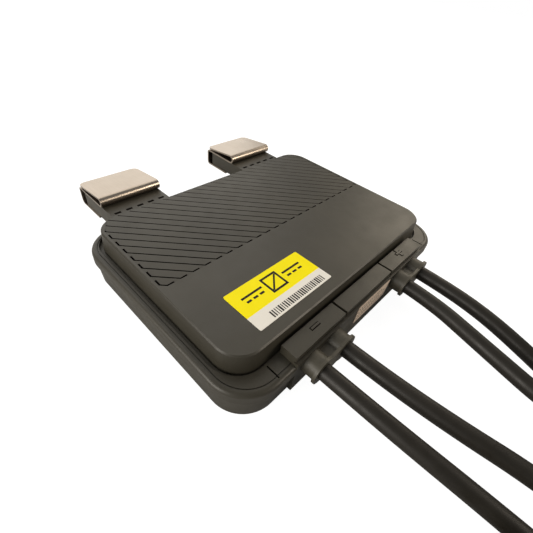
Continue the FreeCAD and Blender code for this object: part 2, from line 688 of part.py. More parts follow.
def make_strain_relief(label, side):
    """Makes a strain relief: two sleeves behind one front plate."""
    body = new_body(label.title().replace("_", ""))
    plate = sketch_on(body, body.Name + "Plate", SLEEVE_FRONT, "XZ_Plane")
    sleeves = sketch_on(body, body.Name + "Sleeves", SLEEVE_FRONT, "XZ_Plane")
    bores = sketch_on(body, body.Name + "Bores", SLEEVE_FRONT, "XZ_Plane")
    web = sketch_on(body, body.Name + "Web", SLEEVE_FRONT, "XZ_Plane")
    rib = sketch_on(body, body.Name + "Rib", SLEEVE_FRONT, "XZ_Plane")
    for lead in ("Size.lead_inner", "Size.lead_outer"):
        x = f"{side} * {lead}"
        draw_circle(plate, x, "Size.lead_height", "Size.sleeve_diameter + 2 * Size.flange_rim")
        draw_circle(sleeves, x, "Size.lead_height", "Size.sleeve_diameter")
        draw_circle(bores, x, "Size.lead_height", "Size.lead_diameter")
    ends = sorted((f"{side} * Size.lead_inner", f"{side} * Size.lead_outer"), key=number)
    draw_box(web, *ends, "Size.lead_height - Size.web_height / 2",
             "Size.lead_height + Size.web_height / 2")
    draw_box(rib, *ends, "Size.lead_height - Size.web_thickness / 2",
             "Size.lead_height + Size.web_thickness / 2")
    pad(body, web, body.Name + "WebPad", "Size.flange_thickness", back=True)
    pad(body, rib, body.Name + "RibPad", "Size.sleeve_reach", back=True)
    pad(body, plate, body.Name + "PlatePad", "Size.flange_thickness", back=True)
    pad(body, sleeves, body.Name + "SleevesPad", "Size.sleeve_reach + Size.sleeve_seat", back=True)
    pocket(body, bores, body.Name + "BoresCut", "Size.sleeve_reach + Size.sleeve_seat + 1")
    return node(body, label)


def clip_path():
    """Gives the clip's middle line in Y and Z, as edges from leg to leaf."""
    sheet_half = number("Size.clip_sheet / 2")
    small = number("Size.clip_bend") + sheet_half
    fold = number("Size.clip_fold") + sheet_half
    wall = number("Size.arm_tip + Size.clip_hollow") + sheet_half
    low = number("Size.arm_foot") - sheet_half
    high = number("Size.arm_top") + sheet_half
    slope = math.radians(number("Size.clip_slope"))
    fold_y = number("Size.clip_fold_place")
    fold_z = high + fold
    turn = slope
    leaf_start = Vector(0, fold_y - fold * math.sin(-turn), fold_z + fold * math.cos(turn))
    run = (wall + sheet_half - leaf_start.y) / math.cos(slope)
    leaf_end = leaf_start + Vector(0, math.cos(slope), -math.sin(slope)) * run
    lean = math.sqrt(0.5) * small
    return [
        Part.LineSegment(Vector(0, wall - small - number("Size.clip_leg"), low),
                         Vector(0, wall - small, low)),
        Part.Arc(Vector(0, wall - small, low),
                 Vector(0, wall - small + lean, low + small - lean),
                 Vector(0, wall, low + small)),
        Part.LineSegment(Vector(0, wall, low + small), Vector(0, wall, high - small)),
        Part.Arc(Vector(0, wall, high - small),
                 Vector(0, wall - small + lean, high - small + lean),
                 Vector(0, wall - small, high)),
        Part.LineSegment(Vector(0, wall - small, high), Vector(0, fold_y, high)),
        Part.Arc(Vector(0, fold_y, high), Vector(0, fold_y - fold, fold_z), leaf_start),
        Part.LineSegment(leaf_start, leaf_end),
    ]


def beside(edge, by):
    """Gives a line or arc that runs beside an edge in the YZ plane."""
    ends = (edge.FirstParameter, (edge.FirstParameter + edge.LastParameter) / 2, edge.LastParameter)
    points = []
    for at in ends:
        across = Vector(1, 0, 0).cross(edge.tangentAt(at))
        points.append(edge.valueAt(at) + across * by)
    if isinstance(edge.Curve, Part.Line):
        return Part.LineSegment(points[0], points[2]).toShape()
    return Part.Arc(*points).toShape()


def make_clip(label, side):
    """Makes a spring clip: one strip, folded round the arm and back over it."""
    path = [segment.toShape() for segment in clip_path()]
    half = number("Size.clip_sheet / 2")
    width = number("Size.clip_width")
    inner = [beside(edge, half) for edge in path]
    outer = [beside(edge, -half) for edge in path]
    ends = [
        Part.LineSegment(inner[at].Vertexes[at].Point, outer[at].Vertexes[at].Point).toShape()
        for at in (0, -1)
    ]
    band = Part.Wire(Part.__sortEdges__(inner + outer + ends))
    strip = Part.Face(band).extrude(Vector(width, 0, 0))
    strip.translate(Vector(side * number("Size.arm_middle") - width / 2, 0, 0))
    leaf_end = ends[1].CenterOfMass
    corners = [
        edge for edge in strip.Edges
        if edge.BoundBox.XLength < 1e-4
        and abs(edge.CenterOfMass.y - leaf_end.y) < 1e-3
        and abs(edge.CenterOfMass.z - leaf_end.z) < 1e-3
    ]
    strip = strip.makeFillet(number("Size.clip_corner"), corners)
    clip = doc.addObject("Part::Feature", label.title().replace("_", ""))
    clip.Shape = strip
    return node(clip, label)


def make_board():
    """Makes the circuit board with holes over nothing but its bosses."""
    body = make_slab("Board", BOARD, BOARD_FOOT, "Size.board_thickness")
    return node(body, "circuit_board")


def on_board(label, x, y, length, width, height, edge=None):
    """Makes a block that stands on the board, its top edges rounded."""
    body = new_body(label.title().replace("_", ""))
    sketch = sketch_on(body, body.Name + "Foot", BOARD_TOP)
    draw_box(sketch, f"{x}", f"{x} + {length}", f"{y}", f"{y} + {width}")
    pad(body, sketch, body.Name + "Pad", height)
    if edge:
        dress(body, "Fillet", body.Name + "Round", edge, is_upright)
    return node(body, label)


def make_lug(label, x):
    """Makes the copper lug that grips one lead's core."""
    half = "Size.lug_width / 2"
    block = box(f"{label}Block", f"{x} - {half}", "-Size.lug_front", BOARD_TOP,
                "Size.lug_width", "Size.lug_length", "Size.lug_height")
    bore = rod(f"{label}Bore", x, "-Size.lug_front + Size.lug_length - Size.lug_end", "Size.lead_height",
               "Size.core_diameter", "Size.lug_length")
    return node(cut(f"{label}Cut", block, bore), label)


def make_core(label, x):
    """Makes the copper core that runs from a lead's jacket into its lug."""
    back = "(Size.lug_front - Size.lug_length + Size.lug_end)"
    core = rod(label.title().replace("_", ""), x, f"-{back}", "Size.lead_height",
               "Size.core_diameter", f"Size.lead_seat - {back}")
    return node(core, label)


def make_inductor():
    """Makes the power inductor: a ferrite frame round a copper winding."""
    x, y = "-Size.core_left", "-Size.core_reach"
    foot = f"{BOARD_TOP} + Size.core_lift"
    yoke = "(Size.core_width - Size.slot_width) / 2"
    middle_limb = "(Size.core_length - 2 * Size.core_limb - 2 * Size.slot_length)"
    frame = box("InductorFrame", x, y, foot, "Size.core_length", "Size.core_width",
                "Size.core_height")
    left = f"{x} + Size.core_limb"
    right = f"{left} + Size.slot_length + {middle_limb}"
    slots = [
        box(name, place_x, f"{y} + {yoke}", foot, "Size.slot_length", "Size.slot_width",
            "Size.core_height")
        for name, place_x in (("InductorSlotLeft", left), ("InductorSlotRight", right))
    ]
    core = node(cut("InductorCore", frame, *slots), "inductor_core")
    near = f"{y} + {yoke} + Size.winding_play"
    width = "Size.slot_width - 2 * Size.winding_play"
    inner = f"{left} + Size.slot_length"
    outside = box("WindingOutside", f"{inner} - Size.core_lift", near, BOARD_TOP,
                  f"{middle_limb} + 2 * Size.core_lift", width,
                  "Size.core_height + 2 * Size.core_lift")
    inside = box("WindingInside", inner, near, foot, middle_limb, width, "Size.core_height")
    winding = node(cut("Winding", outside, inside), "inductor_winding")
    return core, winding


def can_on_board(label, x, y):
    """Makes a round capacitor that stands on the board."""
    can = doc.addObject("Part::Cylinder", label.title().replace("_", ""))
    bind(can, Radius="Size.can_diameter / 2", Height="Size.can_height")
    return node(place(can, x, y, BOARD_TOP), label)


def make_radio():
    """Makes the communication module: a small board under a shield can."""
    x, y = "Size.radio_place", "Size.radio_reach"
    board = box("RadioBoard", x, y, BOARD_TOP, "Size.radio_length", "Size.radio_width",
                "Size.radio_thickness")
    shield = box("RadioShield", f"{x} + Size.shield_inset", f"{y} + Size.shield_inset",
                 f"{BOARD_TOP} + Size.radio_thickness", "Size.shield_side", "Size.shield_side",
                 "Size.shield_height")
    return node(fuse("Radio", board, shield), "communication_module")


def make_electronics():
    """Makes what stands on the board, apart from the lugs and cores."""
    film = ("Size.film_reach", "Size.film_length", "Size.film_width", "Size.film_height")
    second = "-Size.film_left + Size.film_length + Size.film_gap"
    parts = [
        on_board("input_film_capacitor", "-Size.film_left", *film, edge="Size.film_round"),
        on_board("output_film_capacitor", second, *film, edge="Size.film_round"),
        can_on_board("left_can_capacitor", "Size.can_side", "Size.can_reach"),
        can_on_board("right_can_capacitor", "Size.can_side", "Size.can_reach - Size.can_pitch"),
        on_board("bypass_diode", "-Size.diode_left", "-Size.diode_reach", "Size.diode_length",
                 "Size.diode_width", "Size.diode_height", edge="Size.diode_round"),
        on_board("control_chip", "Size.chip_place", "Size.chip_reach", "Size.chip_side",
                 "Size.chip_side", "Size.chip_height"),
        make_radio(),
    ]
    for index in range(4):
        x = f"Size.switch_place + {index} * Size.switch_pitch"
        parts.append(on_board(f"power_transistor_{index + 1}", x, "-Size.switch_reach",
                              "Size.switch_length", "Size.switch_width", "Size.chip_height"))
    return parts


def make_potting(base, inside):
    """Makes the potting compound, poured round all that stands in the pan."""
    block = make_slab("PottingBlock", CAVITY, "Size.floor_thickness",
                      "Size.potting_top - Size.floor_thickness")
    tools = doc.addObject("Part::Compound", "PottingTools")
    tools.Links = [base, *inside]
    return node(cut("Potting", block, tools), "potting_compound")


def make_labels():
    """Makes the label on the lid and the tag on the front panel."""
    label = new_body("TopLabel")
    sketch = sketch_on(label, "TopLabelOutline", "Size.lid_top")
    draw_box(sketch, "-Size.label_left", "-Size.label_right", "-Size.label_front",
             "-Size.label_back")
    pad(label, sketch, "TopLabelPad", "Size.label_thickness")
    dress(label, "Fillet", "TopLabelCorners", "Size.label_corner", is_upright)
    node(label, "top_label")
    tag = new_body("SideLabel")
    sketch = sketch_on(tag, "SideLabelOutline", "Size.rim_front", "XZ_Plane")
    draw_box(sketch, "-Size.tag_left", "Size.tag_right", "Size.tag_low", "Size.tag_high")
    pad(tag, sketch, "SideLabelPad", "Size.label_thickness")
    node(tag, "side_label")


def route_wire(label, points):
    """Joins a lead's points by straight runs and tangent arcs."""
    edges = []
    radii = []
    start = points[0]
    for before, corner, after in zip(points, points[1:], points[2:]):
        come = corner - before
        leave = after - corner
        trim = 0.45 * min(come.Length, leave.Length)
        half = come.getAngle(leave) / 2
        radius = trim / math.tan(half)
        radii.append(round(radius, 1))
        come.normalize()
        leave.normalize()
        entry = corner - come * trim
        out = corner + leave * trim
        inward = leave - come
        inward.normalize()
        top = corner + inward * (radius / math.cos(half) - radius)
        edges.append(Part.LineSegment(start, entry).toShape())
        edges.append(Part.Arc(entry, top, out).toShape())
        start = out
    edges.append(Part.LineSegment(start, points[-1]).toShape())
    print(label, "bends with radii of", radii)
    return Part.Wire(edges)


def make_tube(label, points):
    """Sweeps a lead's round section along its route."""
    points = [Vector(*point) for point in points]
    wire = route_wire(label, points)
    along = points[1] - points[0]
    circle = Part.Circle(points[0], along, number("Size.lead_diameter") / 2)
    section = Part.Wire(circle.toShape())
    tube = doc.addObject("Part::Feature", label.title().replace("_", ""))
    tube.Shape = wire.makePipeShell([section], True, False)
    return tube


INPUT_MINUS_ROUTE = [
    (-24.1, -47, 11), (-24.1, -69, 11), (-22.2, -96, 10.8), (-17, -126, 9.5), (-17, -156, 9.5),
]
INPUT_PLUS_ROUTE = [
    (24.1, -47, 11), (24.1, -69.5, 11), (17.1, -94, 10.9), (9.8, -125, 9.5), (9.8, -156, 9.5),
]
OUTPUT_MINUS_ROUTE = [
    (-37.2, -47, 11), (-37.2, -70, 11), (-36.4, -91, 10.2), (-34, -112, 7.4),
    (-31.9, -132.5, 4.4), (-31.7, -152, 3.8),
]
OUTPUT_PLUS_ROUTE = [
    (37.2, -47, 11), (37.2, -68, 11), (34.8, -90, 10.6), (30.2, -111.5, 7.8),
    (25.3, -132, 4.5), (24.5, -152, 3.8),
]
MINUS_TAIL_ROUTE = [
    (-78, -118, 17.2), (-59.8, -118, 21.4), (-44, -127.1, 26), (-34.9, -142.9, 29.3),
    (-34.9, -161.1, 29.3),
]
PLUS_TAIL_ROUTE = [
    (70.8, -118, 17.2), (52.6, -118, 21.4), (36.8, -127.1, 26), (27.7, -142.9, 29.3),
    (27.7, -161.1, 29.3),
]
COIL_HEIGHT = "(3 * Size.lead_diameter)"
COIL_SHOULDER = "(1.62 * Size.lead_diameter)"
COIL_CROWN = "(0.31 * Size.lead_diameter)"


def make_ring(name, x, grown="0"):
    """Makes a ring round a coil's centre, drawn tight round five turns, or wider."""
    body = new_body(name)
    sketch = sketch_on(body, name + "Section", role="XZ_Plane")
    reach = f"(Size.lead_diameter + {grown})"
    crown = f"({COIL_CROWN} + {grown})"
    foot = f"Size.tie_thickness - {grown}"
    shoulder = f"Size.tie_thickness + {COIL_SHOULDER}"
    top = f"Size.tie_thickness + {COIL_HEIGHT} + {grown}"
    draw_polygon(sketch, [
        (f"Size.coil_radius - {reach}", foot),
        (f"Size.coil_radius + {reach}", foot),
        (f"Size.coil_radius + {reach}", shoulder),
        (f"Size.coil_radius + {crown}", top),
        (f"Size.coil_radius - {crown}", top),
        (f"Size.coil_radius - {reach}", shoulder),
    ])
    ring = body.newObject("PartDesign::Revolution", name + "Revolution")
    ring.Profile = sketch
    ring.ReferenceAxis = (sketch, ["V_Axis"])
    ring.Angle = 360
    place(body, x, "-Size.coil_back")
    return body, ring


def make_coil(label, x):
    """Makes the outer shape of a put-away lead: a ring of five turns."""
    body, _ = make_ring(label.title().replace("_", ""), x)
    dress(body, "Fillet", body.Name + "Round", "Size.lead_diameter / 2 - 0.2", lambda e: True)
    return node(body, label)


def make_tie(label, coil, x, turn):
    """Makes one of the ties that hold a coil together."""
    name = label.title().replace("_", "")
    body, ring = make_ring(name + "Block", x, "Size.tie_thickness")
    ring.Midplane = True
    bind(ring, Angle="Size.tie_width / Size.coil_radius * 180 / pi")
    body.Placement = Placement(body.Placement.Base, Rotation(Vector(0, 0, 1), turn))
    return node(cut(name, body, coil), label)


def make_coiled_lead(name, x, route, tail_route, tie_turns):
    """Makes an output lead: the run to its coil, the coil, its ties and tail."""
    coil = make_coil(f"output_{name}_coil", x)
    run = cut(f"{name}Run", make_tube(f"{name}_run_tube", route), coil)
    node(run, f"output_{name}_lead")
    tail = cut(f"{name}Tail", make_tube(f"{name}_tail_tube", tail_route), coil)
    node(tail, f"output_{name}_tail")
    for index, turn in enumerate(tie_turns, start=1):
        make_tie(f"output_{name}_tie_{index}", coil, x, turn)


def make_nut(label, x, nut, height):
    """Makes a gland nut with grip grooves, bored for the lead and the barrel."""
    solid = rod(f"{label}Solid", x, f"-{nut}", height, "Size.nut_diameter",
                "Size.nut_length")
    lead = rod(f"{label}LeadBore", x, f"-{nut}", height, "Size.lead_diameter",
               "Size.gland_depth")
    thread = rod(f"{label}ThreadBore", x, f"-({nut} + Size.gland_depth)", height,
                 "Size.thread_diameter", "Size.nut_length - Size.gland_depth")
    grips = []
    reach = "(Size.nut_diameter / 2 + Size.grip_diameter / 4)"
    for index in range(8):
        angle = 22.5 + 45 * index
        grips.append(rod(f"{label}Grip{index}", f"{x} + {reach} * cos({angle})",
                         f"-({nut} + Size.grip_start)", f"{height} + {reach} * sin({angle})",
                         "Size.grip_diameter", "Size.nut_length - Size.grip_start"))
    return node(cut(label.title().replace("_", ""), solid, lead, thread, *grips), label)


def make_barrel(name, x, nut, height):
    """Makes the rear of a connector: the barrel and its neck inside the nut."""
    neck = rod(f"{name}Neck", x, f"-({nut} + Size.gland_depth)", height,
               "Size.thread_diameter", "Size.nut_length - Size.gland_depth")
    barrel = rod(f"{name}Barrel", x, f"-({nut} + Size.nut_length)", height,
                 "Size.barrel_diameter", "Size.barrel_length")
    return neck, barrel


def make_contact(label, x, nut, mouth, height):
    """Makes the metal contact, from the lead's end to behind the mouth."""
    back = f"({nut} + Size.gland_depth)"
    return node(rod(label.title().replace("_", ""), x, f"-{back}", height,
                    "Size.contact_diameter", f"{mouth} - Size.contact_recess - {back}"), label)


def make_plug(lead, x, nut, height):
    """Makes a connector whose nose and two latch arms go into a socket."""
    name = f"{lead}Plug"
    front = f"({nut} + Size.nut_length + Size.barrel_length)"
    mouth = f"({front} + Size.nose_length)"
    nose = rod(f"{name}Nose", x, f"-{front}", height, "Size.nose_diameter",
               "Size.nose_length")
    arms = []
    for side in (-1, 1):
        inner = f"{x} + {side} * Size.latch_place"
        outer = f"{inner} + {side} * Size.latch_thickness"
        low = inner if side > 0 else outer
        length = "(Size.nose_length - Size.latch_short)"
        arms.append(box(f"{name}Arm{side + 1}", low, f"-({front} + {length})",
                        f"{height} - Size.latch_width / 2", "Size.latch_thickness",
                        length, "Size.latch_width"))
        barb = outer if side > 0 else f"{outer} - Size.latch_barb"
        arms.append(box(f"{name}Barb{side + 1}", barb, f"-({front} + {length})",
                        f"{height} - Size.latch_width / 2", "Size.latch_barb",
                        "Size.barb_length",
                        "Size.latch_width"))
    bore = rod(f"{name}Mouth", x, f"-({mouth} - Size.mouth_depth)", height,
               "Size.nose_bore", "Size.mouth_depth")
    solid = fuse(f"{name}Solid", *make_barrel(name, x, nut, height), nose, *arms)
    contact = make_contact(f"{lead}_pin", x, nut, mouth, height)
    return node(cut(name, solid, bore, contact), f"{lead}_plug")


def make_socket(lead, x, nut, height):
    """Makes a connector whose shell takes a plug, with a window at each side."""
    name = f"{lead}Socket"
    front = f"({nut} + Size.nut_length + Size.barrel_length)"
    mouth = f"({front} + Size.nose_length)"
    shell = rod(f"{name}Shell", x, f"-{front}", height, "Size.shell_diameter",
                "Size.nose_length")
    bore = rod(f"{name}Mouth", x, f"-({mouth} - Size.mouth_depth)", height,
               "Size.shell_bore", "Size.mouth_depth")
    windows = box(f"{name}Windows", f"{x} - Size.shell_diameter",
                  f"-({mouth} - Size.window_place)",
                  f"{height} - (Size.latch_width + Size.window_play) / 2",
                  "2 * Size.shell_diameter", "Size.barb_length + Size.window_play",
                  "Size.latch_width + Size.window_play")
    tube = rod(f"{name}Tube", x, f"-({mouth} - Size.mouth_depth)", height,
               "Size.tube_diameter", "Size.mouth_depth - Size.contact_recess")
    solid = fuse(f"{name}Solid", *make_barrel(name, x, nut, height), shell)
    open_shell = cut(f"{name}Open", solid, bore, windows)
    whole = fuse(f"{name}Whole", open_shell, tube)
    contact = make_contact(f"{lead}_contact", x, nut, mouth, height)
    return node(cut(name, whole, contact), f"{lead}_socket")


outside = make_lid_outside()
base = make_base(outside)
make_lid()
make_seal(outside)
board = make_board()
inside = [board]
for name, x in LEADS.items():
    inside.append(make_core(f"{name}_core", x))
    inside.append(make_lug(f"{name}_lug", x))
inside.extend(make_inductor())
inside.extend(make_electronics())
make_potting(base, inside)
make_strain_relief("minus_strain_relief", -1)
make_strain_relief("plus_strain_relief", 1)
make_clip("left_spring_clip", -1)
make_clip("right_spring_clip", 1)
make_labels()
node(make_tube("input_minus_lead", INPUT_MINUS_ROUTE), "input_minus_lead")
node(make_tube("input_plus_lead", INPUT_PLUS_ROUTE), "input_plus_lead")
make_coiled_lead("minus", "-Size.coil_left", OUTPUT_MINUS_ROUTE, MINUS_TAIL_ROUTE, (300, 160))
make_coiled_lead("plus", "Size.coil_right", OUTPUT_PLUS_ROUTE, PLUS_TAIL_ROUTE, (240, 20))
ON_FLOOR = "Size.plug_height"
ON_COIL = f"(Size.tie_thickness + {COIL_HEIGHT} + Size.nut_diameter / 2)"
ENDS = {
    "input_minus": (INPUT_MINUS_ROUTE, "Size.input_nut", ON_FLOOR, make_socket),
    "input_plus": (INPUT_PLUS_ROUTE, "Size.input_nut", ON_FLOOR, make_plug),
    "output_minus": (MINUS_TAIL_ROUTE, "Size.output_nut", ON_COIL, make_plug),
    "output_plus": (PLUS_TAIL_ROUTE, "Size.output_nut", ON_COIL, make_socket),
}
for lead, (route, nut, height, make_connector) in ENDS.items():
    x = route[-1][0]
    make_nut(f"{lead}_nut", x, nut, height)
    make_connector(lead, x, nut, height)

doc.recompute()
for thing in doc.Objects:
    if "Invalid" in thing.State or "Error" in thing.State:
        raise RuntimeError(f"{thing.Label} could not be worked out: {thing.State}")
for thing in nodes:
    shape = thing.Shape
    if shape.isNull() or not shape.isValid() or not shape.Solids:
        raise RuntimeError(f"{thing.Label} has no sound solid")
    shape.exportStep(f"parts/{thing.Label}.step")
    print(thing.Label, len(shape.Solids), round(shape.Volume, 1), shape.BoundBox)
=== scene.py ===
"""Looks of a solar power optimizer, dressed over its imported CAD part.

Lengths are in metres unless said otherwise, in the part's own frame: the back
face lies on Z = 0, the leads leave towards -Y and the two spring clips reach
out to +Y.
"""

import logging
import math
from dataclasses import dataclass, field
from enum import Enum

import bmesh
import bpy
from mathutils import Matrix, Vector

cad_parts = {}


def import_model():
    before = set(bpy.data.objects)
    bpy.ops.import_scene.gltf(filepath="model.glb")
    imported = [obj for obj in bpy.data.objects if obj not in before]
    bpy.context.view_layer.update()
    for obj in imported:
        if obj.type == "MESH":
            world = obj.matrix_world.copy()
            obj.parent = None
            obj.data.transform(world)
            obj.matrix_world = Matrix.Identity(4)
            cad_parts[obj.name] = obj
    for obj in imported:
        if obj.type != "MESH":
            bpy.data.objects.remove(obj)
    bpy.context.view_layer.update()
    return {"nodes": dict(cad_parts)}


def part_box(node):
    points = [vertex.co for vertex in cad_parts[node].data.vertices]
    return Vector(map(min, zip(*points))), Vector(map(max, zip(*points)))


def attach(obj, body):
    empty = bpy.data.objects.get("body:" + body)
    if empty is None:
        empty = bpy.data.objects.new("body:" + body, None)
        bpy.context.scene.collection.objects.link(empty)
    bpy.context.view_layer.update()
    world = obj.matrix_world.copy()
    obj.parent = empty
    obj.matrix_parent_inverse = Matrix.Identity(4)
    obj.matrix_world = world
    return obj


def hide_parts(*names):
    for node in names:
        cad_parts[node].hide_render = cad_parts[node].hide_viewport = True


log = logging.getLogger("optimizer")

Colour = tuple[float, float, float]
Point = tuple[float, float, float]

MM = 0.001
BODY = "root"
CORD_SIDES = 6
CORD_ORDER = 3


@dataclass(frozen=True)
class Cloud:
    """A noise field.

    Attributes:
        cells: How many cells it has for each metre.
        layers: How many finer layers lie over them.
    """

    cells: float
    layers: float


def shaded(colour: Colour, share: float) -> Colour:
    """Gives a colour times a share."""
    return tuple(channel * share for channel in colour)


def new_object(name: str, data: bpy.types.ID) -> bpy.types.Object:
    """Makes an object at the origin and links it into the scene.

    Args:
        name: The object's name.
        data: Its mesh, curve, light or camera.

    Returns:
        The new object.
    """
    made = bpy.data.objects.new(name, data)
    bpy.context.scene.collection.objects.link(made)
    return made


class ShaderSheet:
    """Builds one node material step by step, on Object coordinates."""

    def __init__(self, name: str) -> None:
        """Starts a material of this name with a Principled BSDF."""
        self.material = bpy.data.materials.new(name)
        self.material.use_nodes = True
        self.tree = self.material.node_tree
        self.shader = self.tree.nodes["Principled BSDF"]
        self.place = self.add("ShaderNodeTexCoord").outputs["Object"]

    def add(self, kind: str) -> bpy.types.Node:
        """Adds a node of a kind and returns it."""
        return self.tree.nodes.new(kind)

    def join(self, source: bpy.types.NodeSocket, target: bpy.types.NodeSocket) -> None:
        """Links two sockets."""
        self.tree.links.new(source, target)

    def set(self, name: str, value: float) -> None:
        """Sets one of the shader's own sockets by its name."""
        self.shader.inputs[name].default_value = value

    def drive(self, name: str, source: bpy.types.NodeSocket) -> None:
        """Links a socket into one of the shader's own sockets."""
        self.join(source, self.shader.inputs[name])

    def driver(self, name: str) -> bpy.types.NodeSocket:
        """Gives the socket that is linked into one of the shader's own."""
        return self.shader.inputs[name].links[0].from_socket

    def stretched(self, scale: Point) -> bpy.types.NodeSocket:
        """Gives Object coordinates times a factor for each axis."""
        mapping = self.add("ShaderNodeMapping")
        mapping.inputs["Scale"].default_value = scale
        self.join(self.place, mapping.inputs["Vector"])
        return mapping.outputs["Vector"]

    def noise(self, cloud: Cloud,
              vector: bpy.types.NodeSocket | None = None) -> bpy.types.NodeSocket:
        """Gives a noise value from 0 to 1, at a vector or else at Object coordinates."""
        node = self.add("ShaderNodeTexNoise")
        node.inputs["Scale"].default_value = cloud.cells
        node.inputs["Detail"].default_value = cloud.layers
        self.join(vector or self.place, node.inputs["Vector"])
        return node.outputs["Fac"]

    def spread(self, value: bpy.types.NodeSocket, low: float, high: float,
               start: float = 0.3, end: float = 0.7) -> bpy.types.NodeSocket:
        """Maps a value from start..end to low..high and returns the result."""
        node = self.add("ShaderNodeMapRange")
        node.inputs["From Min"].default_value = start
        node.inputs["From Max"].default_value = end
        node.inputs["To Min"].default_value = low
        node.inputs["To Max"].default_value = high
        self.join(value, node.inputs["Value"])
        return node.outputs["Result"]

    def blend(self, factor: bpy.types.NodeSocket, first: Colour,
              second: Colour) -> bpy.types.NodeSocket:
        """Mixes two colours by a factor and returns the mixed colour."""
        node = self.add("ShaderNodeMix")
        node.data_type = "RGBA"
        node.inputs["A"].default_value = (*first, 1.0)
        node.inputs["B"].default_value = (*second, 1.0)
        self.join(factor, node.inputs["Factor"])
        return node.outputs["Result"]

    def combined(self, operation: str, first: bpy.types.NodeSocket,
                 second: bpy.types.NodeSocket) -> bpy.types.NodeSocket:
        """Joins two values by a Math operation and returns the result."""
        node = self.add("ShaderNodeMath")
        node.operation = operation
        self.join(first, node.inputs[0])
        self.join(second, node.inputs[1])
        return node.outputs["Value"]

    def within(self, low: Point, high: Point) -> bpy.types.NodeSocket:
        """Gives 1 inside a box in Object coordinates and 0 outside it.

        Args:
            low: The box's lower corner.
            high: Its upper corner.

        Returns:
            The mask's value.
        """
        apart = self.add("ShaderNodeSeparateXYZ")
        self.join(self.place, apart.inputs["Vector"])
        mask = None
        for socket, start, end in zip(apart.outputs, low, high):
            near = self.add("ShaderNodeMath")
            near.operation = "COMPARE"
            near.inputs[1].default_value = (start + end) / 2
            near.inputs[2].default_value = (end - start) / 2
            self.join(socket, near.inputs[0])
            inside = near.outputs["Value"]
            mask = inside if mask is None else self.combined("MULTIPLY", mask, inside)
        return mask

    def bump(self, height: bpy.types.NodeSocket, distance: float) -> None:
        """Lets a height raise the surface.

        Args:
            height: The height from 0 to 1.
            distance: The height's size in metres.
        """
        node = self.add("ShaderNodeBump")
        node.inputs["Distance"].default_value = distance
        self.join(height, node.inputs["Height"])
        self.drive("Normal", node.outputs["Normal"])


@dataclass(frozen=True)
class Finish:
    """A finish whose tone, roughness and surface vary a little.

    Attributes:
        name: The material's name.
        colour: Its base colour.
        roughness: Its mean roughness.
        grain: The size of its surface grain in metres, or 0 for none.
        depth: The depth of its relief in metres.
        layers: The finer layers of the grain.
        metallic: How metallic it is.
        gloss: The specular level.
        tone: The noise that moves the colour.
        tone_range: The part of that noise over which the colour changes.
        along: The noise's scale per axis, where it is drawn out along one.
        dark: The darkest tone, as a share of the colour.
        pale: The palest tone, as a share of the colour.
        wear: The noise that moves the roughness.
        smoother: How far the roughness falls.
        rougher: How far it rises.
    """

    name: str
    colour: Colour
    roughness: float = 0.3
    grain: float = 0.0
    depth: float = 0.0
    layers: float = 2.0
    metallic: float = 0.0
    gloss: float = 0.5
    tone: Cloud = Cloud(90.0, 2.0)
    tone_range: tuple[float, float] = (0.3, 0.7)
    along: Point | None = None
    dark: float = 1.0
    pale: float = 1.0
    wear: Cloud = Cloud(300.0, 2.0)
    smoother: float = 0.05
    rougher: float = 0.05

    def material(self) -> bpy.types.Material:
        """Builds the finish's material and returns it."""
        sheet = ShaderSheet(self.name)
        sheet.set("Metallic", self.metallic)
        sheet.set("Specular IOR Level", self.gloss)
        tone = sheet.noise(self.tone, sheet.stretched(self.along) if self.along else None)
        share = sheet.spread(tone, 0.0, 1.0, *self.tone_range)
        sheet.drive("Base Color", sheet.blend(share, shaded(self.colour, self.dark),
                                              shaded(self.colour, self.pale)))
        sheet.drive("Roughness", sheet.spread(sheet.noise(self.wear),
                                              self.roughness - self.smoother,
                                              self.roughness + self.rougher))
        self._shape_surface(sheet, tone)
        return sheet.material

    def _shape_surface(self, sheet: ShaderSheet, tone: bpy.types.NodeSocket) -> None:
        """Raises the grain, where the finish has one.

        Args:
            sheet: The finish's nodes.
            tone: The noise that moves its colour.
        """
        if self.grain:
            sheet.bump(sheet.noise(Cloud(1 / self.grain, self.layers)), self.depth)


@dataclass(frozen=True)
class MouldedPlastic(Finish):
    """Plastic with a fine eroded grain and a faint flow of tone."""

    roughness: float = 0.5
    grain: float = 0.00035
    depth: float = 0.00002
    tone: Cloud = Cloud(35.0, 3.0)
    dark: float = 0.88
    pale: float = 1.12
    wear: Cloud = Cloud(160.0, 4.0)


@dataclass(frozen=True)
class GroovedPlastic(MouldedPlastic):
    """Moulded plastic with painted shade down in its grooves: dark and matt there.

    Attributes:
        low: The lower corner of the box that holds the grooves' floors.
        high: Its upper corner, just under the ribs' tops.
        shade: The colour of the painted shade down there.
    """

    low: Point = (-0.062, -0.0056, 0.0214)
    high: Point = (0.062, 0.0437, 0.0226)
    shade: Colour = (0.005, 0.0045, 0.004)

    def _shape_surface(self, sheet: ShaderSheet, tone: bpy.types.NodeSocket) -> None:
        """Raises the grain, then paints shade into the grooves."""
        super()._shape_surface(sheet, tone)
        # Painted shade: the grooves' floors turn dark and matt and lose their gloss.
        down = sheet.within(self.low, self.high)
        mix = sheet.add("ShaderNodeMix")
        mix.data_type = "RGBA"
        mix.inputs["B"].default_value = (*self.shade, 1.0)
        sheet.join(down, mix.inputs["Factor"])
        sheet.join(sheet.driver("Base Color"), mix.inputs["A"])
        sheet.drive("Base Color", mix.outputs["Result"])
        sheet.drive("Roughness", sheet.combined("MAXIMUM", down, sheet.driver("Roughness")))
        sheet.drive("Specular IOR Level", sheet.spread(down, self.gloss, 0.0, 0.0, 1.0))


